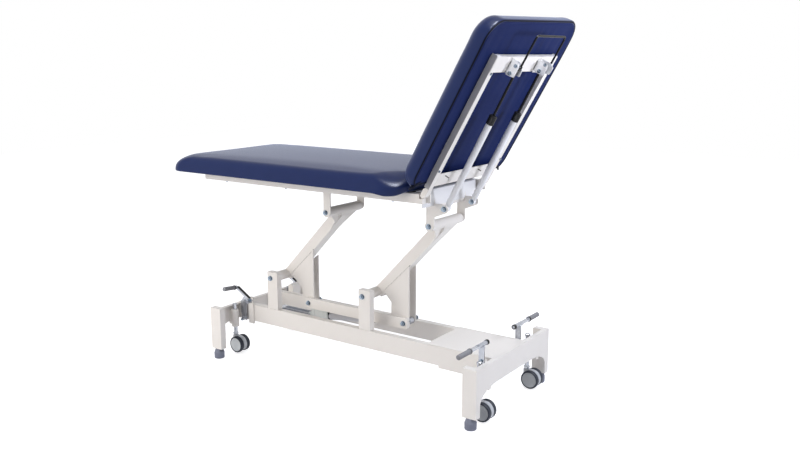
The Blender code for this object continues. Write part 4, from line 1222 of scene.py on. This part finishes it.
# %% [markdown]
# The back rails carry the pad on thin packing strips, and their outer sides are open. A thin grey
# strip laid on each outer side paints the shade inside that hollow. A flat upper plate crosses both
# rails. At the head end of the seat a bent ivory strip closes the frame: it stands on the front of the
# cross tube and turns back over the end of the board, just under the pad.

# %% Packing strips, painted shade on the hollow sides, upper plate and end strip
for name, title, inner, outer, outline in (
    ("rail_packing", "ivory_coat", 0.2095, 0.2373, oblong(0.040, 0.5768, 0.0048, 0.0125)),
    ("rail_hollows", "painted_hollow_shade", 0.2370, 0.2379, oblong(0.034, 0.5895, -0.0100, 0.0118)),
):
    work = bmesh.new()
    for sign in (-1, 1):
        cut_plate(work, outline, *sorted((sign * inner, sign * outer)), on_side)
    give(name, work, title, "backrest", 40)
work = bmesh.new()
outline = [(-0.2373, -0.0131), (0.2373, -0.0131), (0.2373, -0.0115), (0.2086, -0.0115)]
outline += [(0.2086, 0.0034), (-0.2086, 0.0034), (-0.2086, -0.0115), (-0.2373, -0.0115)]
cut_plate(work, outline, 0.5262, 0.5880, across_back)
upper = give("upper_plate", work, "ivory_coat", "backrest", 40)
soften(upper, 0.0007)
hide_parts("back_plate_top")
work = bmesh.new()
outline = [
    (0.4266, 0.7835), (0.4294, 0.7835), (0.4296, 0.7838), (0.4296, 0.8460), (0.4290, 0.8472),
    (0.4278, 0.8478), (0.4000, 0.8478), (0.3998, 0.8476), (0.3998, 0.8450), (0.4258, 0.8450),
    (0.4266, 0.8442),
]
cut_plate(work, outline, -0.2000, 0.2000, side_on)
give("seat_end_strip", work, "white_gloss", "seat", 40)
print("packing, hollows, upper plate and end strip")

# %% [markdown]
# Round caps of white plastic close the upper ends of the back rails, and forked brackets of zinc
# plated sheet hold the gas struts. A bracket is a foot plate with two ears. Each ear is cut from an
# outline with rounded corners. Bolt heads sit on the ear that faces the viewer.

# %% Rail caps and strut brackets
CAP_MIDDLE, CAP_HALF, CAP_LOW, CAP_HIGH = 0.22335, 0.0141, -0.0112, 0.0050
CAP_RINGS = ((0.5770, 0.0), (0.5860, 0.0), (0.5884, 0.0008), (0.5898, 0.0024), (0.5904, 0.0050))
EARS = {
    "near": (
        ([(0.5795, -0.0120), (0.5845, -0.0160), (0.5784, -0.0452), (0.5644, -0.0512),
          (0.5268, -0.0513), (0.5206, -0.0219), (0.5270, -0.0120)], -0.1288, -0.1254),
        ([(0.5740, -0.0120), (0.5738, -0.0302), (0.5573, -0.0480), (0.5276, -0.0508),
          (0.5230, -0.0120)], -0.0850, -0.0816),
    ),
    "far": (
        ([(0.5801, -0.0120), (0.5774, -0.0549), (0.5627, -0.0615), (0.5338, -0.0583),
          (0.5303, -0.0260), (0.5360, -0.0120)], 0.0816, 0.0850),
        ([(0.5792, -0.0120), (0.5813, -0.0541), (0.5721, -0.0690), (0.5424, -0.0667),
          (0.5300, -0.0120)], 0.1118, 0.1152),
    ),
}
HEADS = {
    "near": ((0.5654, -0.0379, 0.60), (0.5322, -0.0302, 0.66)),
    "far": ((0.5730, -0.0472, 0.55), (0.5418, -0.0375, 0.66)),
}
for side, sign in SIDES:
    work = bmesh.new()
    left, right = CAP_MIDDLE * sign - CAP_HALF, CAP_MIDDLE * sign + CAP_HALF
    rings = []
    for s, less in CAP_RINGS:
        box = oblong(left + less, right - less, CAP_LOW + less, CAP_HIGH - less)
        rings.append([on_rear(s, y, n) for y, n in soft_outline(box, 0.0022)])
    loft(work, rings)
    give(f"rail_cap_{side}", work, "white_gloss", "backrest", 50)

    work = bmesh.new()
    least, most = EARS[side][0][1], EARS[side][1][2]
    plate = soft_outline(oblong(0.5240, 0.5740, least, most), 0.0030)
    cut_plate(work, plate, -0.0163, -0.0132, on_back)
    for points, start, stop in EARS[side]:
        cut_plate(work, soft_outline(points, 0.0040), start, stop, on_side)
    long = most - least - 0.004
    turn(work, rod(0, long, 0.005), on_rear(0.553, least + 0.002, -0.035), FAR, 16)
    bracket = give(f"strut_bracket_{side}", work, "pale_zinc", "backrest", 40)
    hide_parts(f"clevis_{side}")
    places = [(None, on_rear(s, least, n), NEAR, size) for s, n, size in HEADS[side]]
    bolts(f"bracket_bolts_{side}", "backrest", places)
print("caps and brackets on both rails")

# %% [markdown]
# A gas strut is a white tube with a black ribbed collar at its mouth. Tube, collar and bore are one
# turned profile, and the eye at its foot is turned across it.

# %% Gas struts
STRUT = Vector((math.cos(math.radians(61.64)), 0, math.sin(math.radians(61.64))))
TUBE = [(0.0080, 0.0), (0.0080, 0.0085), (0.0160, 0.0108), (0.0240, 0.0123), (0.0290, 0.0128)]
TUBE += [(0.3735, 0.0128), (0.3750, 0.0123), (0.3750, 0.0138, 1), (0.3758, 0.0147, 1)]
for k in range(5):
    at = 0.3785 + 0.0058 * k
    TUBE += [(at, 0.0149, 1), (at + 0.0007, 0.0141, 1)]
    TUBE += [(at + 0.0018, 0.0141, 1), (at + 0.0025, 0.0149, 1)]
TUBE += [(0.4085, 0.0149, 1), (0.4108, 0.0136, 1), (0.4118, 0.0100, 1), (0.4118, 0.0056, 1)]
TUBE += [(0.2300, 0.0056, 1), (0.2300, 0.0, 1)]
EYE = [(-0.0088, 0.0), (-0.0088, 0.0118), (-0.0080, 0.0126)]
EYE += [(-along, radius) for along, radius in reversed(EYE)]
for side, sign in SIDES:
    foot_pin = Vector((STRUT_X, 0.097 * sign, STRUT_Z))
    work = bmesh.new()
    turn(work, TUBE, foot_pin, STRUT, 40)
    turn(work, EYE, foot_pin, FAR, 28)
    turn(work, rod(0, 0.0146, 0.006), foot_pin, (0, sign, 0), 20)
    tube = f"strut_tube_{side}"
    body = give(f"strut_body_{side}", work, "white_gloss black_plastic", tube, 30)
    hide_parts(tube)
print("both struts turned")

# %% [markdown]
# The release handle is one black rod, bent to a wide bow behind the top of the backrest. Its ends are
# turned into small eyes at the strut brackets.

# %% Release handle
BOW_N = -0.050
BOW_ENDS = (-0.1105, 0.1205)
RING = [(0, 0.0030), (0, 0.0056), (0.0006, 0.0062)]
RING += [(0.0062, 0.0062), (0.0068, 0.0056), (0.0068, 0.0030)]
PIN = [(0, 0.0), (0, 0.0026), (0.0098, 0.0026), (0.0104, 0.0018), (0.0104, 0.0)]
work, pins = bmesh.new(), bmesh.new()
left, right = BOW_ENDS
bow = [(0.5690, left), (0.6900, left), (0.6900, right), (0.5690, right)]
path = fillet([on_rear(s, y, BOW_N) for s, y in bow], 0.013, 8)
sweep(work, path, 0.0040, 14)
for y in BOW_ENDS:
    turn(work, RING, on_rear(0.567, y - 0.0034, BOW_N), FAR, 20)
    turn(pins, PIN, on_rear(0.567, y - 0.0052, BOW_N), FAR, 14)
handle = give("handle_bow", work, "black_satin", "release_handle", 45)
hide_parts("release_handle")
give("handle_pins", pins, "zinc_plate", "release_handle", 40)
print("handle bow of", len(path), "points")

# %% [markdown]
# Each castor has two wheels with a hood between them. A wheel is turned like a pulley: a rounded grey
# tyre, a narrow groove, and a paler disc with a raised rim and hub. The hood is a band over the
# wheels with a dark core, and a round boss takes the stem.

# %% Castor wheels, hoods and rubber feet
WHEEL = [
    (0.0000, 0.0110), (0.0000, 0.0335), (0.0008, 0.0358), (0.0030, 0.0374), (0.0065, 0.0380),
    (0.0135, 0.0380), (0.0168, 0.0374), (0.0186, 0.0358), (0.0192, 0.0335), (0.0190, 0.0318),
    (0.0180, 0.0312), (0.0180, 0.0304, 1), (0.0194, 0.0300, 1), (0.0200, 0.0292, 1),
    (0.0200, 0.0274, 1), (0.0195, 0.0264, 1), (0.0190, 0.0250, 1), (0.0189, 0.0130, 1),
    (0.0194, 0.0114, 1), (0.0198, 0.0100, 1), (0.0198, 0.0, 1),
]
AXLE = rod(-0.0100, 0.0100, 0.0044)
BAND = arc(0.0364, -38, 153, 6) + arc(0.0300, 152, -39, -6)
NECK = [(-0.0355, 0.0150), (-0.0140, 0.0270), (-0.0060, 0.0362), (-0.0120, 0.0378), (-0.0355, 0.0378)]
BOSS = [(0.0364, 0.0100), (0.0364, 0.0116), (0.0370, 0.0120), (0.0380, 0.0120), (0.0386, 0.0114)]
BOSS += [(0.0386, 0.0)]
FOOT = [
    (0.0000, 0.0), (0.0000, 0.0188), (0.0012, 0.0212), (0.0032, 0.0224), (0.0050, 0.0229),
    (0.0068, 0.0222), (0.0082, 0.0228), (0.0270, 0.0230), (0.0296, 0.0224), (0.0312, 0.0212),
    (0.0395, 0.0186), (0.0440, 0.0168), (0.0456, 0.0150), (0.0456, 0.0),
]
UP = (0, 0, 1)
AXLE_HEIGHT, TRAIL = 0.0445, 0.025
# The foot-end discs take the paler copy, painted lit; the head-end discs take the darker copy, painted
# shaded.
ENDS = {
    "foot": (-0.61337, 0.182, -0.61637, "disc_painted_lit"),
    "head": (0.68663, 0.198, 0.70363, "disc_painted_shaded"),
}
for end, (stem_x, stem_y, foot_x, disc_painted_tone) in ENDS.items():
    for side, sign in SIDES:
        corner = f"{end}_{side}"
        swivel = math.radians(120.0 if corner == "foot_far" else 0.0)
        stem = Matrix.Translation((stem_x, stem_y * sign, AXLE_HEIGHT))
        swung = stem @ Matrix.Rotation(swivel, 4, "Z")
        centre = swung @ Vector((TRAIL, 0, 0))
        axle = swung.to_3x3() @ FAR
        work = bmesh.new()
        for out in (-1, 1):
            turn(work, WHEEL, centre + axle * out * 0.0096, axle * out, 56)
        turn(work, AXLE, centre, axle, 20)
        rider = f"castor_wheels_{corner}"
        wheels = give(f"wheel_pair_{corner}", work, f"tyre_rubber {disc_painted_tone}", rider, 28)
        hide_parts(f"castor_wheels_{corner}")

        work = bmesh.new()
        upright = swung @ Matrix.Translation((TRAIL, 0, 0)) @ side_on
        cut_plate(work, BAND, -0.0088, 0.0088, upright)
        cut_plate(work, soft_outline(NECK, 0.0014), -0.0086, 0.0086, upright)
        turn(work, BOSS, swung.translation, UP, 28)
        cut_plate(work, arc(0.0296, 0, 360, 10), -0.0080, 0.0080, upright, 1)
        rider = f"castor_hood_{corner}"
        hood = give(f"hood_band_{corner}", work, "hood_plastic black_plastic", rider, 40)
        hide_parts(f"castor_hood_{corner}")

        work = bmesh.new()
        turn(work, FOOT, (foot_x, 0.285 * sign, 0), UP, 48)
        foot = give(f"floor_foot_{corner}", work, "foot_rubber", "base", 30)
        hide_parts(f"rubber_foot_{corner}")
print("four castors and four feet")

# %% [markdown]
# The pedals keep their plated straps from the CAD model. A hand or foot meets a grey sleeve with a
# rounded end and fine ribs, and a black ring closes the sleeve. The foot pedals have a black cover
# along the upper edge of the lever, and the head pedals a black plug in the open end of the tube.

# %% Pedal sleeves, rings, covers and plugs
RIB_GAP = 0.0052
SLEEVE = "grip_rubber black_plastic"
PLUG = [
    (0.030, 0.0090), (0.030, 0.0096), (0.0306, 0.0100), (0.0418, 0.0100), (0.0426, 0.0094),
    (0.0426, 0.0062), (0.0400, 0.0056), (0.0400, 0.0),
]
FOOT_PEDAL_Y = {"near": -0.143, "far": 0.187}
HEAD_PEDAL_Y = {"near": -0.157, "far": 0.140}
REACH_ANGLE = math.radians(149.7)
HEAD_BAR_X = 0.67263


def sleeve(name, place, direction, long, radius, body):
    """A grip sleeve: ring first, then the sleeve with ribs and a rounded end."""
    rows = [(0.0, 0.0086, 1), (0.0, radius + 0.0010, 1), (0.0006, radius + 0.0014, 1)]
    rows += [(0.0048, radius + 0.0014, 1), (0.0054, radius + 0.0010, 1), (0.0054, radius, 0)]
    for k in range(int((long - 0.020) / RIB_GAP)):
        at = 0.0085 + RIB_GAP * k
        rows += [(at, radius), (at + 0.0005, radius - 0.0003)]
        rows += [(at + 0.0013, radius - 0.0003), (at + 0.0018, radius)]
    rows += [(long - 0.0070, radius + 0.0002), (long - 0.0028, radius)]
    rows += [(long - 0.0010, radius - 0.0014), (long, radius - 0.0040), (long + 0.0003, 0.0)]
    work = bmesh.new()
    turn(work, rows, place, direction, 28)
    give(name, work, SLEEVE, body, 28)


for side, sign in SIDES:
    out = Vector((0, sign, 0))
    pedal = f"pedal_foot_{side}"
    pivot = Vector((-0.55337, FOOT_PEDAL_Y[side], 0.248))
    reach = Vector((math.cos(REACH_ANGLE), 0, math.sin(REACH_ANGLE)))
    aim = Vector((0, sign * 0.082, 0.008)).normalized()
    sleeve(f"foot_sleeve_{side}", pivot + reach * 0.095 + aim * 0.014, aim, 0.070, 0.0096, pedal)
    work = bmesh.new()
    place = Matrix((reach, FAR, Vector((reach.z, 0, -reach.x)))).transposed().to_4x4()
    place.translation = pivot
    cover = soft_outline(oblong(0.004, 0.090, -0.0048, 0.0048), 0.003)
    cut_plate(work, cover, 0.0040, 0.0096, place)
    give(f"lever_cover_{side}", work, "black_plastic", pedal, 40)
    strap_bolt = pivot + Vector((-0.032, sign * 0.022, -0.092))
    places = [(None, pivot + Vector((0, sign * 0.003, 0)), out, 0.72), (None, strap_bolt, out, 0.55)]
    bolts(f"foot_pedal_bolts_{side}", pedal, places)

    pedal = f"pedal_head_{side}"
    y = HEAD_PEDAL_Y[side]
    bar = Vector((HEAD_BAR_X, y, 0.283))
    sleeve(f"head_sleeve_{side}", bar + out * 0.088, out, 0.085, 0.0098, pedal)
    work = bmesh.new()
    turn(work, PLUG, bar, -out, 28)
    give(f"tube_plug_{side}", work, "black_plastic", pedal, 35)
    strap_bolt = Vector((HEAD_BAR_X, y + sign * 0.003, 0.219))
    bolts(f"head_pedal_bolts_{side}", pedal, [(None, strap_bolt, out, 0.70)])
print("sleeves, covers and plugs on four pedals")

# %% [markdown]
# Behind the tie bar lies the actuator. Its motor housing is a grey box with a lid, and a paler tube
# runs forward from it to the rod. It is drawn along its own axis and then tilted into place.

# %% Actuator
axis_x, axis_z = Vector((0.99207, 0, 0.12570)), Vector((-0.12570, 0, 0.99207))
lying = Matrix((axis_x, FAR, axis_z)).transposed().to_4x4()
lying.translation = Vector((-0.31837, 0, 0.186))
BARREL = [
    (0.1290, 0.0150, 1), (0.1290, 0.0190, 1), (0.3630, 0.0190, 1), (0.3640, 0.0200, 2),
    (0.3650, 0.0205, 2), (0.3840, 0.0205, 2), (0.3850, 0.0198, 2), (0.3850, 0.0118, 2),
    (0.1800, 0.0117, 2), (0.1800, 0.0, 2),
]
BOXES = [
    (0.0290, 0.0480, 0.0225, 0.0385, 0.0195, 0), (0.0486, 0.1240, 0.0240, 0.0400, 0.0210, 0),
    (0.1245, 0.1310, 0.0215, 0.0300, 0.0190, 2),
]
RIB_STARTS = (0.060, 0.070, 0.080, 0.090, 0.100, 0.110)
BOXES += [(start, start + 0.0060, 0.0120, 0.0260, 0.0216, 0) for start in RIB_STARTS]
work = bmesh.new()
for start, stop, below, above, half, number in BOXES:
    rings = []
    for along, less in (
        (start, 0.0025), (start + 0.0008, 0.0010), (start + 0.0025, 0.0),
        (stop - 0.0025, 0.0), (stop - 0.0008, 0.0010), (stop, 0.0025),
    ):
        box = soft_outline(oblong(less - half, half - less, less - below, above - less), 0.005)
        rings.append([lying @ Vector((along, y, z)) for y, z in box])
    loft(work, rings, [number] * len(rings))
cut_plate(work, oblong(0.0, 0.034, -0.009, 0.009), -0.009, 0.009, lying)
turn(work, rod(-0.0120, 0.0120, 0.0108), lying.translation, FAR, 24)
turn(work, BARREL, lying.translation, axis_x, 40)
CASE = "motor_grey tube_grey black_plastic"
actuator = give("actuator_case", work, CASE, "actuator_body", 35)
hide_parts("actuator_body")
places = [
    (None, lying @ Vector((along, sign * 0.0210, z)), (0, sign, 0), 0.30)
    for along in (0.0545, 0.1185) for z in (-0.0185, 0.0345) for sign in (-1, 1)
]
bolts("housing_screws", "actuator_body", places)
rod_ends = [(None, (0.2500, 0.0287 * out.y, 0.2660), out, 0.80) for out in (FAR, NEAR)]
bolts("rod_bolt", "lift_arm_head", rod_ends)
print("actuator with", len(places), "housing screws")

# %% [markdown]
# Thread shows only where the rear panel is sewn to the cord, as a row of short dark stitches. Under
# the seat the cover is folded round the board and held by flat wire staples. Both rows come from the
# bead tree, once with thread and once with wire.

# %% Stitches and staples
STITCH_SIZES, STAPLE_SIZES = (0.0052, 0.0036, 0.0011), (0.030, 0.0105, 0.0011)


def inner_ring(pad, low, high, half):
    """The lower edge of a pad, drawn in at its low end, its high end and its sides."""
    smaller = {"low": pad["low"] + low, "high": pad["high"] - high, "half": pad["half"] - half}
    return pad_ring(pad | smaller, EDGE_HEIGHT)


path = inner_ring(BACK, 0.006, 0.006, 0.006)
for point in path:
    drawn(point)
path = [behind @ Vector((point.x, point.y, -0.0003)) for point in path]
bead_row("welt_stitches", path, True, STITCH_SIZES, "sewing_thread", "backrest")
path = [Vector((p.x, p.y, low.z - 0.0002)) for p in inner_ring(SEAT, 0.028, 0.020, 0.028)]
bead_row("seat_staples", path, True, STAPLE_SIZES, "zinc_plate", "seat")
print("stitches and staples laid")
